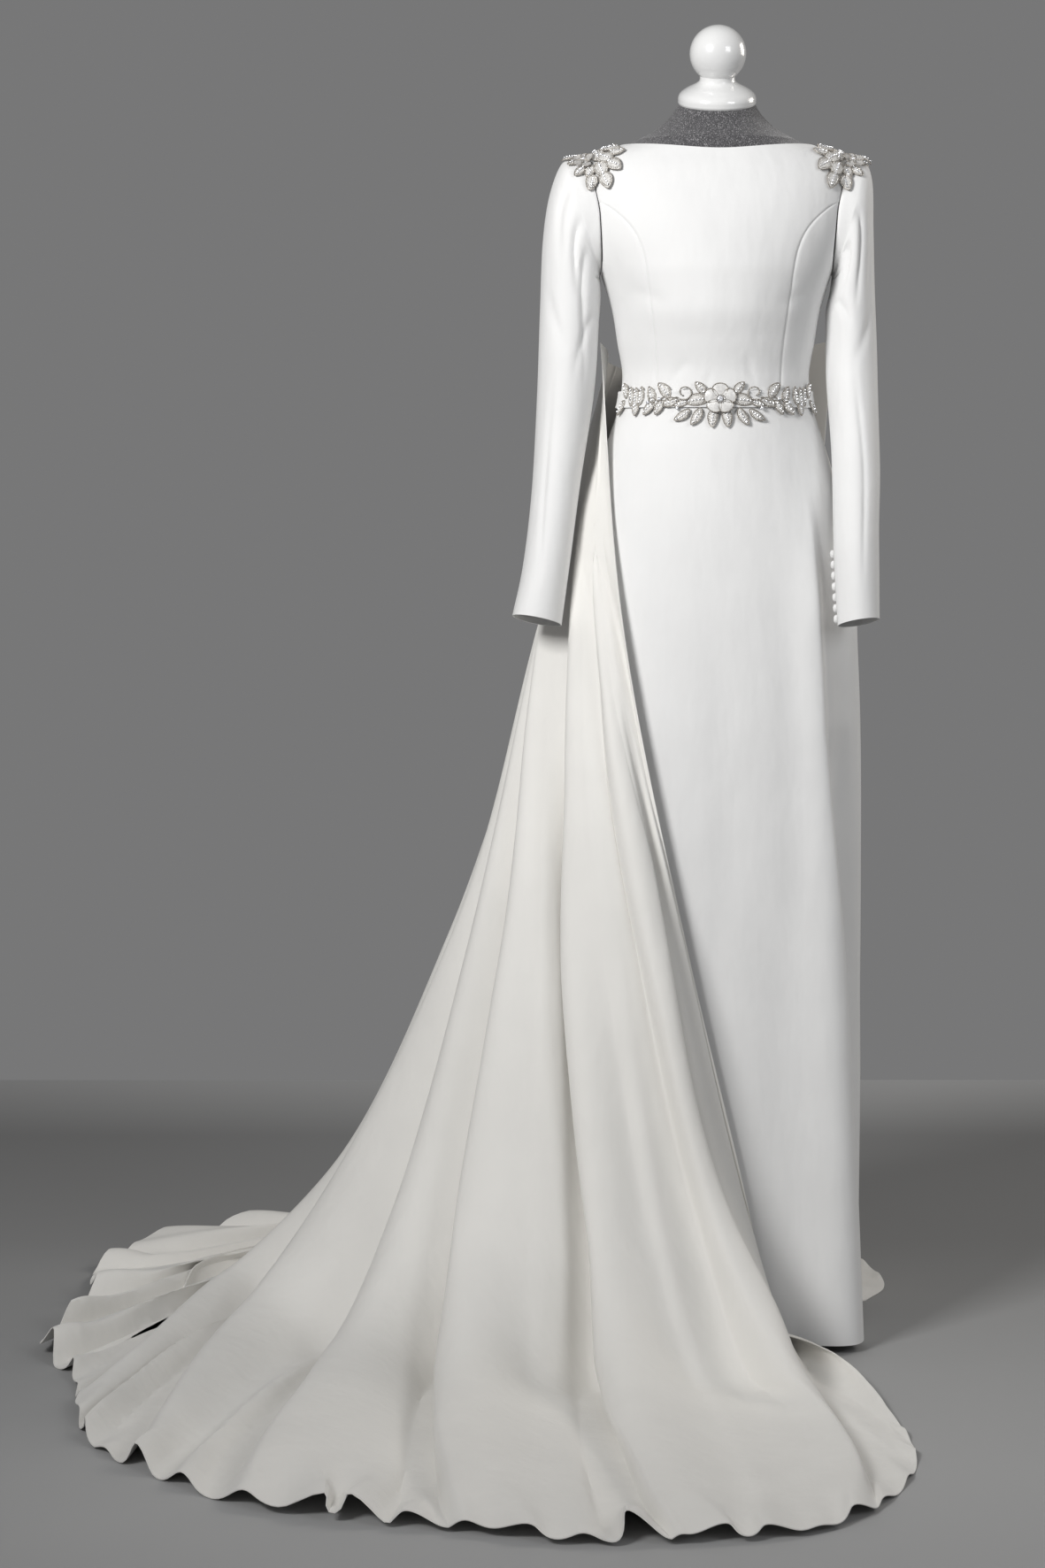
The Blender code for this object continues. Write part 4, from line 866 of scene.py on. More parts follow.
def dress_leaf(leaf, place, kinds, blunt=False):
    """One beaded leaf: a padded ground, a cord round it, seed beads inside and a midrib of crystals."""
    x, z, half_length, half_width, lean, height = leaf
    lift = height * 0.5
    insets = (1.0, 0.86, 0.62, 0.34, 0.02)
    add_ground(kinds["net"], place, leaf, insets, 27, lambda inset: 0.0002 + lift * (1 - inset**2), blunt)
    add_edge(kinds["cord"], place, leaf, 31, 0.0006, CORD, blunt)
    fine = np.linspace(0, 1, 160)
    across, along = leaf_outline(leaf, fine, BEAD_LINE, blunt)
    reach = np.concatenate([[0.0], np.cumsum(np.hypot(np.diff(across), np.diff(along)))])
    count = max(int(reach[-1] / SEED_BEAD_STEP), 7)
    shares = np.interp(np.arange(count) / count * reach[-1], reach, fine)
    across, along = leaf_outline(leaf, shares, BEAD_LINE, blunt)
    kinds["bead"].beads(place(across, along, lift * 0.42 + 0.0006), SEED_BEAD, 1)
    rib = np.linspace(-0.6, 0.66, max(int(half_length / 0.0021), 3))
    turn = math.radians(lean)
    kinds["crystal"].beads(
        place(x + rib * half_length * math.cos(turn), z + rib * half_length * math.sin(turn), lift + 0.0008),
        0.00125 - 0.0004 * np.abs(rib),
        1,
    )


def dress_kinds():
    return {"net": Parts(), "cord": Parts(), "bead": Parts(), "crystal": Parts()}


def made_kinds(kinds, name):
    """The objects of one beaded piece, its padded grounds first."""
    return [
        kinds["net"].made(f"{name}_grounds", netting, "silver_beading"),
        kinds["cord"].made(f"{name}_cords", cord_silver_and_shade, "silver_beading"),
        kinds["bead"].made(f"{name}_beads", silver, "silver_beading"),
        kinds["crystal"].made(f"{name}_crystals", crystal, "silver_beading", 15),
    ]


# ---------------------------------------------------------------- belt

BELT_OUT = CLOTH / 2 + BELT_GAP
belt_degs = np.linspace(-90.0, 270.0, 1441)
belt_line = body_point(belt_degs, WAIST_Z)
belt_reach = np.concatenate([[0.0], np.cumsum(np.linalg.norm(np.diff(belt_line, axis=0), axis=1))])
front_degs = np.linspace(-90.0, -1.0, 400)
front_x = body_point(front_degs, WAIST_Z)[:, 0]


def belt_surface(degs, up, out):
    """Points at these angles, this far up from the waist and out from the belt's back."""
    zs = WAIST_Z + np.asarray(up, float)
    base = body_point(degs, zs)
    across = body_point(degs + 0.1, zs) - body_point(degs - 0.1, zs)
    along = body_point(degs, zs + 1e-3) - body_point(degs, zs - 1e-3)
    normal = np.cross(across, along)
    normal = normal / np.linalg.norm(normal, axis=-1, keepdims=True)
    return base + normal * (BELT_OUT + np.asarray(out, float))[..., None]


def belt_place(side):
    """Where a point of the pattern lies: its distance from the front's middle, and up."""

    def place(across, up, out):
        reach = np.abs(np.asarray(across, float))
        sign = np.where(np.asarray(across) < 0, -side, side)
        degs = np.interp(reach, belt_reach, belt_degs)
        degs = np.where(sign > 0, degs, -180 - degs)
        return belt_surface(degs, up, np.asarray(out, float) + np.zeros(degs.shape) + BELT_RIBBON)

    return place


def belt_leaf(leaf):
    """The leaf with its place turned from x into a distance along the belt."""
    deg = np.interp(leaf[0], front_x, front_degs)
    return (float(np.interp(deg, belt_degs, belt_reach)), *leaf[1:])


# One side of the belt's pattern: (x, up, half length, half width, lean in degrees, height), in mm.
BELT_PATTERN = (
    (26.0, -1.0, 12.5, 7.0, -8, 4.2),
    (21.0, 12.5, 9.0, 4.8, 52, 3.4),
    (40.5, -19.5, 10.5, 4.6, -37, 3.0),
    (25.0, -21.0, 11.0, 5.0, -63, 3.2),
    (8.0, -21.5, 11.5, 5.4, -82, 3.2),
    (42.5, -5.0, 8.5, 4.2, -20, 3.0),
    (61.0, 10.5, 11.0, 6.0, 50, 3.6),
    (54.0, -3.5, 10.0, 5.4, 165, 3.4),
    (75.0, 4.5, 10.5, 5.4, 74, 3.4),
    (66.5, -9.5, 9.5, 4.8, -62, 3.2),
    (77.5, -10.5, 9.5, 4.8, -50, 3.2),
    (86.5, 3.0, 11.5, 4.6, 98, 3.8),
    (91.5, 0.0, 13.5, 4.8, 90, 4.2),
    (96.5, 3.0, 11.5, 4.6, 82, 3.8),
    (91.0, -11.5, 8.0, 4.6, -90, 3.2),
    (103.5, 10.5, 10.0, 5.2, 62, 3.4),
    (106.0, -9.5, 10.0, 5.2, -58, 3.4),
)
RIBBON_HALF_HEIGHT = 0.0095

turns = np.arange(288)[None, :] * 1.25
ups = np.linspace(-RIBBON_HALF_HEIGHT, RIBBON_HALF_HEIGHT, 15)[:, None]
hemmed = 0.0005 * np.exp(-(((np.abs(ups) - RIBBON_HALF_HEIGHT + 0.0015) / 0.0007) ** 2))
grid = belt_surface(turns + 0 * ups, ups + 0 * turns, BELT_RIBBON / 2 + hemmed + 0 * turns)
belt_ribbon = shell("belt_ribbon", grid, normals_of(grid, True), crepe, closed=True, thickness=BELT_RIBBON)
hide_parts("belt")
kinds = dress_kinds()
pearls = Parts()
for side in (1, -1):
    place = belt_place(side)
    for row in BELT_PATTERN:
        leaf = (*[value / 1000 for value in row[:4]], row[4], row[5] / 1000)
        dress_leaf(belt_leaf(leaf), place, kinds)
    # the scroll beside the flower, and its inner curl
    turn = np.radians(np.linspace(-120, 250, 34))
    shrink = np.linspace(1.0, 0.42, 34)
    across = 0.0395 - 0.0098 * shrink * np.cos(turn)
    up = 0.0075 + 0.0090 * shrink * np.sin(turn)
    kinds["cord"].cord(place(across, up, 0.0016), 0.00085)
    kinds["bead"].beads(place(across[2::3] + 0.0004, up[2::3], 0.0028), 0.00080, 1)
    # strands between the leaves along the ribbon's middle
    for start, end in ((0.046, 0.060), (0.064, 0.082)):
        reach = np.linspace(start, end, 14)
        kinds["cord"].cord(place(reach, 0.0020 * np.sin(reach * 420), 0.0014), 0.0007)
    kinds["crystal"].beads(place(np.array([0.0690, 0.0835, 0.0475]), np.array([0.0, -0.004, -0.011]), 0.0016), 0.0021)
place = belt_place(1)
for petal in range(5):
    lean = 90 + 72 * petal
    turn = math.radians(lean)
    leaf = (0.0096 * math.cos(turn), 0.0096 * math.sin(turn), 0.0082, 0.0080, lean, 0.0046)
    insets = (1.0, 0.88, 0.66, 0.36, 0.02)
    add_ground(pearls, place, leaf, insets, 29, lambda inset: 0.0044 + 0.0012 * (1 - inset**2), True)
    add_edge(kinds["cord"], place, leaf, 33, 0.0046, 0.0007, True)
turn = np.radians(np.arange(12) * 30)
kinds["bead"].beads(place(0.0048 * np.cos(turn), 0.0048 * np.sin(turn), 0.0064), 0.0009)
points, faces = ball(1.0, 2)
centre = place(np.array([0.0]), np.array([0.0]), np.array([0.0062]))[0]
kinds["crystal"].add(points * [0.0036, 0.0026, 0.0036] + centre, faces)
belt_pieces = made_kinds(kinds, "belt") + [pearls.made("belt_flower_petals", pearl, "silver_beading")]
as_sheet(grid, closed=True)

# ---------------------------------------------------------------- shoulder appliques

SHOULDER_LEAVES = (
    (-0.024, 0.030, 0.0100, 0.0060, 150, 0.0036),
    (-0.017, 0.020, 0.0095, 0.0055, 120, 0.0034),
    (-0.004, 0.022, 0.0095, 0.0058, 80, 0.0034),
    (-0.008, 0.036, 0.0105, 0.0062, 100, 0.0038),
    (-0.017, 0.048, 0.0110, 0.0066, 130, 0.0038),
    (-0.029, 0.044, 0.0085, 0.0050, 165, 0.0032),
    (-0.026, 0.061, 0.0100, 0.0060, 140, 0.0034),
    (-0.012, 0.062, 0.0115, 0.0066, 108, 0.0038),
    (0.002, 0.060, 0.0105, 0.0062, 78, 0.0038),
    (-0.017, 0.078, 0.0105, 0.0060, 112, 0.0034),
    (0.000, 0.078, 0.0115, 0.0066, 84, 0.0036),
    (0.016, 0.058, 0.0100, 0.0060, 52, 0.0034),
    (0.024, 0.034, 0.0100, 0.0062, 30, 0.0034),
    (0.030, 0.014, 0.0100, 0.0062, 8, 0.0034),
    (0.014, 0.010, 0.0100, 0.0062, 30, 0.0034),
    (-0.005, 0.004, 0.0100, 0.0062, 100, 0.0034),
    (-0.020, 0.002, 0.0095, 0.0058, 170, 0.0034),
    (0.004, -0.012, 0.0105, 0.0064, -60, 0.0036),
    (0.022, -0.008, 0.0100, 0.0060, -20, 0.0034),
    (-0.014, -0.018, 0.0100, 0.0060, 240, 0.0034),
    (0.010, -0.030, 0.0105, 0.0060, -70, 0.0034),
    (-0.006, -0.036, 0.0100, 0.0058, -100, 0.0034),
)
PETALS_AT = (0.011, 0.040)
APPLIQUE_LIFT = 0.0016
PROBE = 0.0015


def tree_of(objects):
    points, faces = [], []
    for one in objects:
        start = len(points)
        points += [v.co.copy() for v in one.data.vertices]
        faces += [[start + i for i in face.vertices] for face in one.data.polygons]
    return BVHTree.FromPolygons(points, faces)


def over_shoulder(tree, x, along, side):
    """The outer point of the cloth, across the shoulder at x and this far from its top to the front."""
    past = max(x - OVER_SHOULDER_X, 0.0) / OVER_SHOULDER_RADIUS
    angle = along / OVER_SHOULDER_RADIUS
    way = Vector((side * math.sin(past), -math.sin(angle), math.cos(angle) * math.cos(past))).normalized()
    middle = Vector((side * min(x, OVER_SHOULDER_X), 0.0, OVER_SHOULDER_Z))
    best, facing = 0.0, way
    for step_x, step_y in ((-1, -1), (-1, 1), (1, -1), (1, 1)):
        start = middle + Vector((step_x, step_y, 0.0)) * PROBE
        hit, normal, _, _ = tree.ray_cast(start + way * 0.3, -way)
        if hit and (hit - start).dot(way) > best:
            best = (hit - start).dot(way)
            facing = normal if normal.dot(way) > 0 else -normal
    return middle + way * best, facing


def shoulder_place(tree, side):
    def place(across, along, out):
        across, along = np.atleast_1d(across), np.atleast_1d(along)
        out = np.broadcast_to(np.asarray(out, float), across.shape)
        points = []
        for one_across, one_along, one_out in zip(across, along, out):
            point, normal = over_shoulder(tree, APPLIQUE_MIDDLE_X + one_across, one_along, side)
            points.append((point + normal * (APPLIQUE_LIFT + one_out))[:])
        return np.array(points)

    return place


for hand, side in (("right", 1), ("left", -1)):
    place = shoulder_place(tree_of(bodice + [sleeves[hand]]), side)
    kinds = dress_kinds()
    for across_0, along_0, half_length, half_width, lean, height in SHOULDER_LEAVES:
        dress_leaf((across_0, along_0, half_length * 1.1, half_width * 1.15, lean, height), place, kinds)
    petals = Parts()
    for petal in range(5):
        lean = 40 + 72 * petal
        turn = math.radians(lean)
        across_0, along_0 = PETALS_AT[0] + 0.0085 * math.cos(turn), PETALS_AT[1] + 0.0085 * math.sin(turn)
        leaf = (across_0, along_0, 0.0080, 0.0064, lean, 0.0030)
        insets = (1.0, 0.8, 0.5, 0.02)
        add_ground(petals, place, leaf, insets, 25, lambda inset: 0.0042 + 0.0014 * inset**2, True)
        add_edge(kinds["cord"], place, leaf, 27, 0.0056, 0.0004, True)
    turn = np.radians(np.arange(7) * 360 / 7)
    kinds["bead"].beads(
        place(PETALS_AT[0] + 0.0026 * np.cos(turn), PETALS_AT[1] + 0.0026 * np.sin(turn), 0.0050), 0.0010
    )
    kinds["crystal"].beads(place(PETALS_AT[0], PETALS_AT[1], 0.0056), 0.0021)
    pieces = made_kinds(kinds, f"shoulder_{hand}")
    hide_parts(f"shoulder_applique_{hand}")
    petals.made(f"shoulder_{hand}_organza", organza, "silver_beading")

# ---------------------------------------------------------------- buttons and their loops

LOOP_RADIUS = 0.0005
for hand, table, side in (("right", SLEEVE_RIGHT, 1), ("left", SLEEVE_LEFT, -1)):
    ends = surface_at(table, side, 180.0, 0.999)[0], surface_at(table, side, 180.0, 0.9)[0]
    length = float(np.linalg.norm(ends[0] - ends[1])) / 0.099
    covers, loops = Parts(), Parts()
    for i in range(BUTTONS):
        share = 1 - (BUTTON_LOWEST + BUTTON_STEP * i) / length
        centre, normal = surface_at(table, side, BUTTON_TURNS[hand], share)
        along = surface_at(table, side, BUTTON_TURNS[hand], min(share + 0.01, 1.0))[0] - centre
        along = along - normal * (along @ normal)
        along = along / np.linalg.norm(along)
        across = np.cross(normal, along)
        turn = np.linspace(0, 2 * math.pi, BUTTON_AROUND, endpoint=False)
        rings = []
        for radius, height in BUTTON_PROFILE:
            ring = np.cos(turn)[:, None] * along + np.sin(turn)[:, None] * across
            rings.append(centre + normal * (SHOWN_CLOTH / 2 + height) + ring * radius)
        index = np.arange(len(rings) * BUTTON_AROUND).reshape(len(rings), BUTTON_AROUND)
        index = np.concatenate([index, index[:, :1]], axis=1)
        covers.add(np.concatenate(rings), grid_faces(index).tolist() + [index[-1, :-1].tolist()])
        sweep = np.radians(np.linspace(-125, 125, 15))
        loop = np.cos(sweep)[:, None] * across * side + np.sin(sweep)[:, None] * along * 0.8
        out = SHOWN_CLOTH / 2 + LOOP_RADIUS + 0.0006
        path = centre + normal * out + loop * 0.0056 - across * side * 0.0008
        loops.cord(path, LOOP_RADIUS)
    cover = covers.made(f"button_covers_{hand}", crepe, "crepe")
    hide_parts(*[f"button_{hand}_{i + 1}" for i in range(BUTTONS)])
    loops.made(f"button_loops_{hand}", crepe, "crepe")

# ---------------------------------------------------------------- the overskirt and its train

heading = columns_of(HEADING, HEADING_COLUMNS, "deg")
TRAIN_COLUMNS_AROUND = 640
LAST = len(TRAIN) - 1


def train_lines(vs):
    """For each fold line its plan and height at these shares of the way down: (fold, axis, v)."""
    lines = []
    for row in TRAIN:
        entry = dict(zip(TRAIN_COLUMNS, row))
        deg = entry["waist_deg"]
        top_z = float(heading["z"](deg))
        points = [polar(deg, body_radius(deg, top_z) + heading["stand_off"](deg))]
        points += [polar(entry[f"{at}_deg"], entry[f"{at}_r"]) for at in ("hip", "knee", "shin", "foot", "hem")]
        heights = [top_z, HIP_Z, KNEE_Z, SHIN_Z, entry["ridge"], 0.0]
        lines.append(
            [
                through(TRAIN_LEVELS, [p[0] for p in points], False)(vs),
                through(TRAIN_LEVELS, [p[1] for p in points], False)(vs),
                through(TRAIN_LEVELS, heights)(vs),
            ]
        )
    return np.array(lines)


# Big folds: for each share of the way down the fold line's number that the crest lies on, and its height in
# metres; then its reach on the gentle and on the steep side, in fold lines, and where the steep side is.
FOLD_LEVELS = (0.0, 0.11, 0.17, 0.24, 0.32, 0.42, 0.55, 0.66, 0.76, 0.86, 0.94, 1.0)
FOLDS = (
    ((9.6, 9.0, 5.1, 3.1, 2.8, 3.7, 4.1, 4.0, 4.4, 4.55, 4.5, 4.5),
     (0, 6, 9, 12, 14, 18, 21, 24, 27, 26, 20, 5), 0.95, 0.30, -1),
    ((8.4, 7.9, 7.45, 6.6, 6.6, 6.9, 7.05, 6.95, 7.0, 7.3, 7.3, 7.3),
     (0, 2, 5, 10, 15, 21, 27, 32, 38, 40, 30, 8), 1.10, 0.30, 1),
    ((10.6, 10.2, 10.0, 9.9, 9.8, 9.85, 10.0, 10.0, 10.05, 10.1, 10.0, 10.0),
     (0, 1, 3, 7, 12, 19, 26, 32, 37, 38, 28, 8), 1.00, 0.32, 1),
    ((12.9, 12.6, 12.4, 12.3, 12.2, 12.2, 12.2, 12.2, 12.1, 12.0, 12.0, 12.0),
     (0, 1, 2, 4, 7, 12, 18, 24, 32, 34, 27, 8), 0.75, 0.28, 1),
    ((14.3, 14.2, 14.1, 14.0, 14.0, 14.0, 14.0, 13.95, 13.8, 13.6, 13.35, 13.2),
     (0, 1, 2, 3, 6, 10, 14, 20, 28, 32, 27, 10), 0.70, 0.26, 1),
    ((16.0,) * 6 + (15.9, 15.8, 15.6, 15.3, 15.1, 15.0),
     (0, 1, 2, 3, 6, 9, 13, 18, 25, 30, 26, 10), 0.70, 0.26, 1),
    ((18.0,) * 5 + (17.9, 17.7, 17.5, 17.2, 16.9, 16.8, 16.8),
     (0, 1, 2, 3, 6, 9, 13, 17, 24, 30, 27, 12), 0.65, 0.26, -1),
    ((19.9,) * 4 + (19.8, 19.6, 19.3, 19.1, 18.9, 18.8, 18.9, 19.0),
     (0, 1, 2, 3, 5, 9, 13, 17, 24, 30, 27, 12), 0.65, 0.26, -1),
    ((21.9,) * 4 + (21.8, 21.6, 21.4, 21.2, 21.0, 20.9, 20.8, 20.8),
     (0, 1, 2, 3, 5, 9, 12, 16, 22, 27, 24, 10), 0.70, 0.28, -1),
    ((23.9,) * 4 + (23.8, 23.7, 23.6, 23.4, 23.2, 23.0, 22.9, 22.9),
     (0, 1, 2, 3, 4, 7, 9, 12, 15, 17, 13, 4), 0.70, 0.32, -1),
    ((26.0,) * 4 + (25.9, 25.8, 25.7, 25.6, 25.5, 25.4, 25.4, 25.4),
     (0, 1, 2, 3, 4, 6, 8, 9, 10, 10, 6, 2), 0.80, 0.36, -1),
    # pleats below the waist
    ((9.0, 7.6, 3.9, 2.0, 1.2, 1.0, 1.0, 1.0, 1.0, 1.0, 1.0, 1.0),
     (0, 6, 9, 10, 8, 5, 3, 1, 0, 0, 0, 0), 0.45, 0.25, -1),
    ((5.8, 5.8, 5.7, 5.6, 5.5, 5.5, 5.6, 5.7, 5.7, 5.8, 5.8, 5.8),
     (0, 0, 1, 2, 3, 4, 5, 5, 4, 2, 4, 0), 0.45, 0.28, 1),
    ((8.6,) * 9 + (8.7, 8.8, 8.8),
     (0, 0, 1, 2, 3, 4, 5, 5, 3, 4, 8, 2), 0.40, 0.26, -1),
    ((11.2, 11.1, 11.0, 11.0, 11.0, 11.0, 11.0, 11.0, 11.0, 11.1, 11.2, 11.2),
     (0, 0, 1, 2, 3, 4, 5, 5, 4, 6, 9, 3), 0.35, 0.22, -1),
    # folds that only lie on the floor
    ((13.0,) * 9 + (12.9, 12.75, 12.7),
     (0,) * 7 + (3, 9, 16, 20, 8), 0.30, 0.16, 1),
    ((14.9,) * 8 + (14.8, 14.6, 14.3, 14.2),
     (0,) * 7 + (3, 10, 18, 21, 9), 0.32, 0.16, 1),
    ((16.7,) * 7 + (16.6, 16.4, 16.1, 16.0, 16.0),
     (0,) * 7 + (3, 10, 19, 23, 12), 0.30, 0.16, 1),
    ((18.6,) * 5 + (18.5, 18.4, 18.3, 18.1, 17.9, 17.8, 17.8),
     (0,) * 7 + (3, 11, 20, 24, 13), 0.28, 0.16, -1),
    ((20.6,) * 5 + (20.5, 20.4, 20.2, 20.1, 20.0, 20.0, 20.1),
     (0,) * 7 + (3, 11, 20, 24, 12), 0.28, 0.16, -1),
    ((22.4,) * 6 + (22.3, 22.2, 22.1, 22.0, 21.9, 21.9),
     (0,) * 7 + (3, 9, 15, 18, 9), 0.30, 0.16, -1),
    ((24.6,) * 6 + (24.5, 24.5, 24.4, 24.3, 24.2, 24.2),
     (0,) * 7 + (2, 5, 8, 9, 4), 0.30, 0.20, 1),
)
FOLD_TROUGH = 1.0  # depth of the trough beside a fold, as a share of its height
FOLD_LEAN = 0.9  # how far a crest hangs over its steep side, as a share of its height
# The hem's flutes: fold line, height, half width, and how far it curls to one side, in metres.
HEM_FLUTES = (
    (0.45, 0.0030, 0.016, 0.0), (0.90, 0.0053, 0.016, 0.0), (1.35, 0.0060, 0.017, 0.004),
    (1.80, 0.0060, 0.017, 0.0), (2.30, 0.0067, 0.018, 0.004), (2.85, 0.0067, 0.020, 0.0),
    (3.45, 0.0060, 0.020, 0.0), (4.05, 0.0083, 0.022, 0.006), (4.62, 0.0112, 0.020, 0.008),
    (5.30, 0.0053, 0.020, 0.0), (5.98, 0.0128, 0.020, 0.010), (6.88, 0.0112, 0.018, -0.008),
    (7.55, 0.0053, 0.018, 0.0), (8.05, 0.0306, 0.016, 0.016), (8.70, 0.0090, 0.022, 0.004),
    (9.45, 0.0105, 0.021, -0.006), (10.10, 0.0060, 0.020, 0.0), (10.75, 0.0170, 0.024, 0.010),
    (11.25, 0.0221, 0.018, 0.016), (11.60, 0.0187, 0.017, -0.014), (12.10, 0.0090, 0.024, 0.0),
    (12.70, 0.0075, 0.022, 0.0), (13.25, 0.0170, 0.020, 0.012), (13.80, 0.0067, 0.022, 0.0),
    (14.30, 0.0105, 0.020, 0.008), (14.80, 0.0060, 0.022, 0.0), (15.25, 0.0120, 0.020, 0.010),
    (15.70, 0.0067, 0.020, 0.0), (16.10, 0.0170, 0.020, 0.010), (16.80, 0.0238, 0.020, 0.010),
    (17.30, 0.0075, 0.022, 0.0), (17.80, 0.0238, 0.022, 0.010), (18.40, 0.0090, 0.022, 0.0),
    (19.00, 0.0221, 0.022, 0.010), (19.60, 0.0090, 0.024, 0.0), (20.15, 0.0204, 0.024, 0.010),
    (20.60, 0.0075, 0.022, 0.0), (21.00, 0.0120, 0.024, 0.008), (21.50, 0.0067, 0.022, 0.0),
    (22.00, 0.0135, 0.024, 0.008), (22.45, 0.0075, 0.022, 0.0), (22.95, 0.0112, 0.024, -0.008),
    (23.45, 0.0075, 0.024, 0.0), (23.90, 0.0105, 0.022, 0.006), (24.40, 0.0075, 0.022, 0.0),
    (24.90, 0.0105, 0.022, 0.006), (25.45, 0.0067, 0.022, 0.0), (26.00, 0.0090, 0.020, 0.0),
    (26.60, 0.0053, 0.018, 0.0), (27.30, 0.0037, 0.018, 0.0),
)
HEM_FROM = 0.925
SCALLOP = 0.55  # how far the hem draws in at a flute, as a share of its height


def train_base(us, vs):
    """The overskirt before its finer folds: (v, u, axis)."""
    numbers = np.arange(len(TRAIN))
    weights = np.stack([through(numbers, row, False)(us) for row in np.eye(len(TRAIN))], axis=1)
    grid = np.einsum("uk,kav->vua", weights, train_lines(vs))
    grid[..., 2] = np.maximum(grid[..., 2], 0.0)
    return grid


FOLD_STEEPEST = (0.55, 2.0)  # a fold's most height to its width, where the overskirt hangs close and below
LEAN_MOST = 1.2  # a crest's most lean, as a share of that width
FOLD_MOST = (0.0022, 0.060)  # the furthest a fold stands out, beside the sleeve and below it
FOLD_LOOSER = 1.8  # how much wider the folds are, in fold lines, where the overskirt hangs close


def fold_lift(us, vs, spacing):
    """How far the folds move each point out, and to the side of the higher fold lines."""
    out, aside = np.zeros((len(vs), len(us))), np.zeros((len(vs), len(us)))
    free = ramp(vs, 0.20, 0.55)[:, None]
    looser = 1 + FOLD_LOOSER * (1 - free)
    steepest = FOLD_STEEPEST[0] + (FOLD_STEEPEST[1] - FOLD_STEEPEST[0]) * free
    for crests, heights, gentle, steep, side in FOLDS:
        away = (us[None, :] - through(FOLD_LEVELS, crests)(vs)[:, None]) * side / looser
        height = 0.001 * through(FOLD_LEVELS, heights)(vs)[:, None]
        room = steep * looser * spacing
        height = height / np.sqrt(1 + (height / (room * steepest)) ** 2)
        crest = np.exp(-((away / np.where(away < 0, gentle, steep)) ** 2))
        trough = np.exp(-(((away - 2.0 * steep) / (1.3 * steep)) ** 2)) * ramp(away, 0.0, steep)
        out = out + height * (crest - FOLD_TROUGH * trough)
        lean = np.minimum(height * FOLD_LEAN, LEAN_MOST * room) * free
        aside = aside + lean * side * np.exp(-((away / (1.6 * steep)) ** 2))
    most = FOLD_MOST[0] + (FOLD_MOST[1] - FOLD_MOST[0]) * ramp(vs, 0.24, 0.55)[:, None]
    return np.where(out > 0, most * np.tanh(out / most), out), aside


def train_surface(us, vs):
    """The overskirt's middle surface."""
    grid = train_base(us, vs)
    normals = normals_of(grid)
    sideways = np.gradient(grid, axis=1)
    sideways = sideways / np.maximum(np.linalg.norm(sideways, axis=-1, keepdims=True), 1e-12)
    spacing = np.linalg.norm(np.gradient(grid, axis=1), axis=-1) / np.gradient(us)[None, :]
    out, aside = fold_lift(us, vs, spacing)
    at_front = ramp(us, 0.0, 0.8)[None, :]
    grid = grid + normals * (out * at_front)[..., None] + sideways * (aside * at_front)[..., None]
    u, v = us[None, :], vs[:, None]
    x, y, z = grid[..., 0], grid[..., 1], np.maximum(grid[..., 2], 0.0)
    hem = np.concatenate([[0.0], np.cumsum(np.linalg.norm(np.diff(grid[-1], axis=0), axis=1))])
    lift, curl = np.zeros(len(us)), np.zeros(len(us))
    for number, height, width, lean in HEM_FLUTES:
        away = np.abs(hem - np.interp(number, us, hem)) / width
        lift = lift + height * np.exp(-(away**2.1))
        curl = curl + lean * np.exp(-((away / 0.8) ** 2))
    near_hem = ramp(v, HEM_FROM, 1.0) ** 1.3
    radius = np.hypot(x, y)
    draw = 1 - SCALLOP * lift * near_hem / radius
    x = x * draw + sideways[..., 0] * curl * near_hem**2
    y = y * draw + sideways[..., 1] * curl * near_hem**2
    z = z + lift * near_hem
    corner = (1 - ramp(u, 0.0, CORNER_WIDTH)) * ramp(v, TRAIN_LEVELS[3], TRAIN_LEVELS[4])
    z = np.maximum(z, CORNER_LIFT * corner)
    degs = np.degrees(np.arctan2(y, x))
    radius = np.hypot(x, y)
    over = np.where(z > TRAIN_JOIN_Z, CLOTH + SEAM, np.where(z > WAIST_Z, TRAIN_OVER_BELT, TRAIN_OVER_SKIRT))
    least = body_radius(degs, z) + over
    push = np.where((z > HEM_Z) & (radius < least), least / radius, 1.0)
    return np.stack([x * push, y * push, z + SHOWN_CLOTH / 2], axis=-1)


us = np.linspace(0.0, LAST, TRAIN_COLUMNS_AROUND + 1)
for _, _, edge in GORES[:-1]:
    us[np.argmin(np.abs(us - edge))] = edge
vs = np.concatenate([np.linspace(0, 0.20, 26)[:-1], np.linspace(0.20, 0.76, 66)[:-1], np.linspace(0.76, 0.9, 24)[:-1],
                     np.linspace(0.9, 1.0, 36)])
overskirt = train_surface(us, vs)
train_normals = normals_of(overskirt)
for name, first, last in GORES:
    inside = (us >= first) & (us <= last)
    part, normals = overskirt[:, inside], train_normals[:, inside]
    part = rolled(part, normals, (first > 0, last < LAST))
    part[..., 2] = np.maximum(part[..., 2], SHOWN_CLOTH / 2)
    made = shell(name + "_cloth", part, normals, train_crepe)
    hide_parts(name)
    as_sheet(part)

# ---------------------------------------------------------------- the dress form

FORM_AROUND = 96
FORM_ROWS_Z = (0.720, 0.780, 0.880, 0.950, 1.025, 1.090, 1.118, 1.165, 1.210, 1.235, 1.272, 1.3145, 1.345, 1.360,
               1.370, 1.3785, 1.384)
FORM_SLACK = 0.0035


def form_gap(z):
    bust = ramp(z, 1.12, 1.20) * (1 - ramp(z, 1.30, 1.36))
    hip = 1 - ramp(z, 0.95, 1.06)
    shoulder = 1.5 * ramp(z, 1.33, 1.35) * (1 - ramp(z, SHOULDER_Z, NECKLINE_Z))
    return FORM_GAP + FORM_SLACK * np.maximum(np.maximum(bust, hip), shoulder)


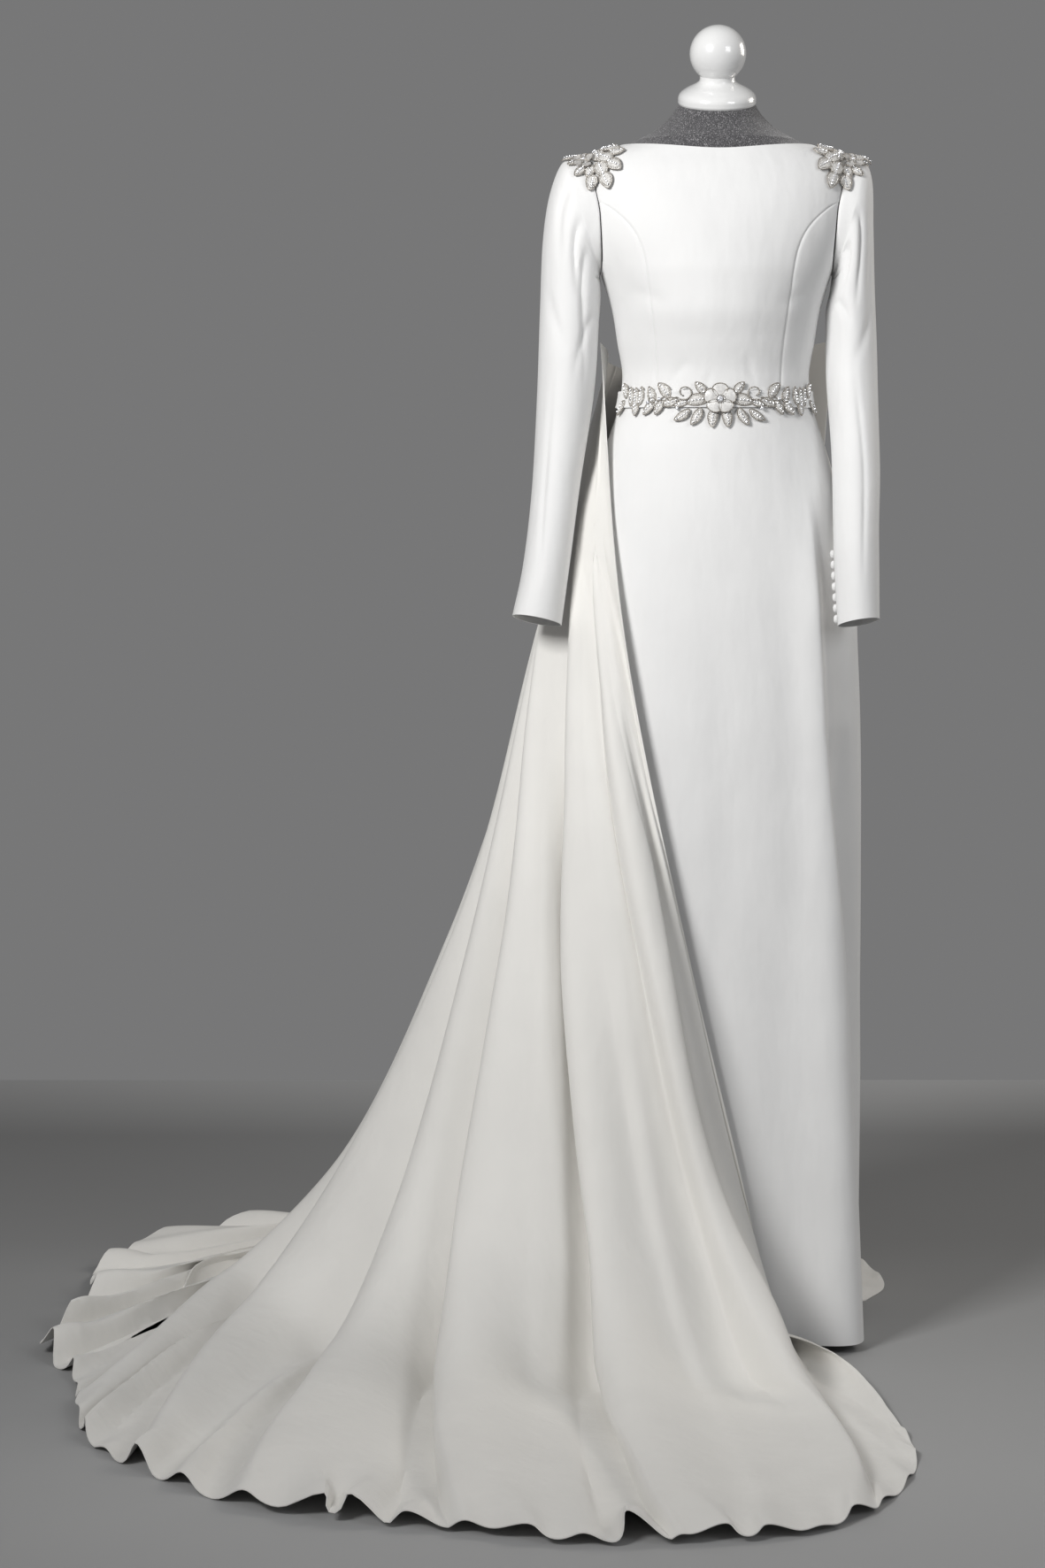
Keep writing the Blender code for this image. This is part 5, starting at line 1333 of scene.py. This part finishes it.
degs = np.arange(FORM_AROUND) * (360.0 / FORM_AROUND) - 180
rings = []
for z in FORM_ROWS_Z:
    near = min(z, NECKLINE_Z - 1e-3)
    patch = np.array([body_point(degs, near - 1e-3), body_point(degs, near), body_point(degs, near + 1e-3)])
    ring = body_point(degs, z) - normals_of(patch, closed=True)[1] * form_gap(z)
    if z == FORM_BOTTOM_Z:
        ring[:, 2] = z
    rings.append(ring)
for z, half_width, front, back in NECK:
    tilt = ramp(z, NECKLINE_Z, NECK[-1][0]) * math.tan(NECK_TILT)
    x = half_width * np.cos(np.radians(degs))
    y = np.where(degs < 0, front, back) * np.sin(np.radians(degs))
    rings.append(np.stack([x, y, z + y * tilt], axis=-1))
rings = np.array(rings)
levels = np.array(list(FORM_ROWS_Z) + [row[0] for row in NECK])
fine = np.unique(np.concatenate([levels, np.linspace(levels[0], levels[-1], 90), np.linspace(1.36, levels[-1], 28)]))
weights = np.stack([through(levels, row, False)(fine) for row in np.eye(len(levels))], axis=1)
grid = np.einsum("rk,kca->rca", weights, rings)
index = np.arange(grid.shape[0] * FORM_AROUND).reshape(grid.shape[0], FORM_AROUND)
closed = np.concatenate([index, index[:, :1]], axis=1)
form = put(
    "form_torso_knit",
    grid.reshape(-1, 3),
    grid_faces(closed).tolist() + [index[0][::-1].tolist(), index[-1].tolist()],
    jersey,
)
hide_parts("form_torso")


def lathed(name, profile, around, material):
    turns = np.arange(around) * (360.0 / around)
    rings = np.array([polar(turns, radius, height) for radius, height in profile])
    index = np.arange(len(rings) * around).reshape(len(rings), around)
    closed = np.concatenate([index, index[:, :1]], axis=1)
    faces = grid_faces(closed).tolist() + [index[0][::-1].tolist(), index[-1].tolist()]
    return put(name, rings.reshape(-1, 3), faces, material, 30)


rounds = np.linspace(0, len(CAP) - 1, 6 * (len(CAP) - 1) + 1)
numbers = range(len(CAP))
radii, heights = (through(numbers, [row[i] for row in CAP])(rounds) for i in (0, 1))
profile = list(zip(radii, heights))
join = math.asin(CAP[-1][0] / BALL_RADIUS)
for angle in np.linspace(math.pi - join, 0.04, 40):
    profile.append((BALL_RADIUS * math.sin(angle), BALL_MIDDLE + BALL_RADIUS * math.cos(angle)))
axis = np.array([0.0, -math.sin(NECK_TILT), math.cos(NECK_TILT)])
cap = lathed("form_cap_turned", profile, 96, gloss)
turned = np.array([v.co[:] for v in cap.data.vertices])
cosine, sine = math.cos(NECK_TILT), math.sin(NECK_TILT)
turned = np.stack(
    [turned[:, 0], turned[:, 1] * cosine - turned[:, 2] * sine, turned[:, 1] * sine + turned[:, 2] * cosine], axis=1
)
turned = turned + axis * SEAM + [0.0, 0.0, NECK[-1][0]]
cap.data.vertices.foreach_set("co", turned.astype(np.float32).ravel())
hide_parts("form_cap")

for name in ("stand_base", "stand_pole"):
    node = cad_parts[name]
    node.data.materials.clear()
    node.data.materials.append(metal)

# ---------------------------------------------------------------- room, lights and camera

FLOOR_DEEP = 8.0
FLOOR_BACK = 1.6
floor_material, floor_shader, floor_nodes, floor_links = new_material("studio_floor", (0.4, 0.4, 0.4), 0.9)
where = floor_nodes.new("ShaderNodeTexCoord")
back = floor_nodes.new("ShaderNodeSeparateXYZ")
floor_links.new(where.outputs["Object"], back.inputs["Vector"])
# The floor's colour is painted light and shade by its distance back: lighter near the camera where the light falls, a
# darker band of painted shade from just in front of the dress to behind it, and lighter again at its far edge.
painted_falloff_tones = ((0.55, (0.46, 0.462, 0.465)), (0.72, (0.42, 0.422, 0.425)), (0.85, (0.27, 0.271, 0.273)),
         (0.94, (0.26, 0.261, 0.263)), (1.0, (0.47, 0.472, 0.475)))
colours(floor_nodes, floor_links, back.outputs["Y"], painted_falloff_tones, floor_shader.inputs["Base Color"])
bumps(floor_nodes, floor_links, ((noise(floor_nodes, floor_links, 160.0, 3.0), 0.0006),), floor_shader)
data = bpy.data.meshes.new("studio_floor")
corners = [(-1.5, 0.0, 0.0), (1.5, 0.0, 0.0), (1.5, 1.0, 0.0), (-1.5, 1.0, 0.0)]
data.from_pydata(corners, [], [(0, 1, 2, 3)])
data.materials.append(floor_material)
floor = bpy.data.objects.new("studio_floor", data)
floor.location = (0.0, FLOOR_BACK - FLOOR_DEEP, -0.0002)
floor.scale = (FLOOR_DEEP, FLOOR_DEEP, FLOOR_DEEP)
bpy.context.scene.collection.objects.link(floor)


def area_light(name, place, aim, power, size, colour, spread):
    light = bpy.data.lights.new(name, "AREA")
    light.energy, light.size, light.color = power, size, colour
    light.spread = math.radians(spread)
    made = bpy.data.objects.new(name, light)
    made.location = place
    made.rotation_euler = (Vector(aim) - Vector(place)).to_track_quat("-Z", "Y").to_euler()
    bpy.context.scene.collection.objects.link(made)


area_light("key", (-1.75, -2.35, 2.25), (0.0, 0, 1.32), 19.0, 0.9, (1.0, 0.995, 0.985), 84)
area_light("fill", (2.1, -2.6, 2.1), (0.1, 0, 1.3), 5.5, 1.2, (0.97, 0.985, 1.0), 90)
area_light("rim", (1.9, 0.9, 1.9), (0, 0, 1.0), 12, 0.9, (1.0, 0.95, 0.88), 160)
world = bpy.data.worlds.new("studio_air")
world.use_nodes = True
world.node_tree.nodes["Background"].inputs["Color"].default_value = (0.88, 0.88, 0.885, 1.0)
world.node_tree.nodes["Background"].inputs["Strength"].default_value = 0.21
bpy.context.scene.world = world

FOCAL_PIXELS, PHOTO_HEIGHT, HORIZON_BELOW = 3840, 1772, 346
SENSOR = 36.0  # mm
CAMERA_DOWN = math.atan(HORIZON_BELOW / FOCAL_PIXELS)
lens = bpy.data.cameras.new("camera")
lens.lens = SENSOR * FOCAL_PIXELS / PHOTO_HEIGHT
lens.sensor_width = SENSOR
camera = bpy.data.objects.new("camera", lens)
camera.location = (-0.2257, -4.0, 1.0)
camera.rotation_euler = (math.pi / 2 - CAMERA_DOWN, 0.0, 0.0)
bpy.context.scene.collection.objects.link(camera)
bpy.context.scene.camera = camera
bpy.context.scene.view_settings.view_transform = "Standard"
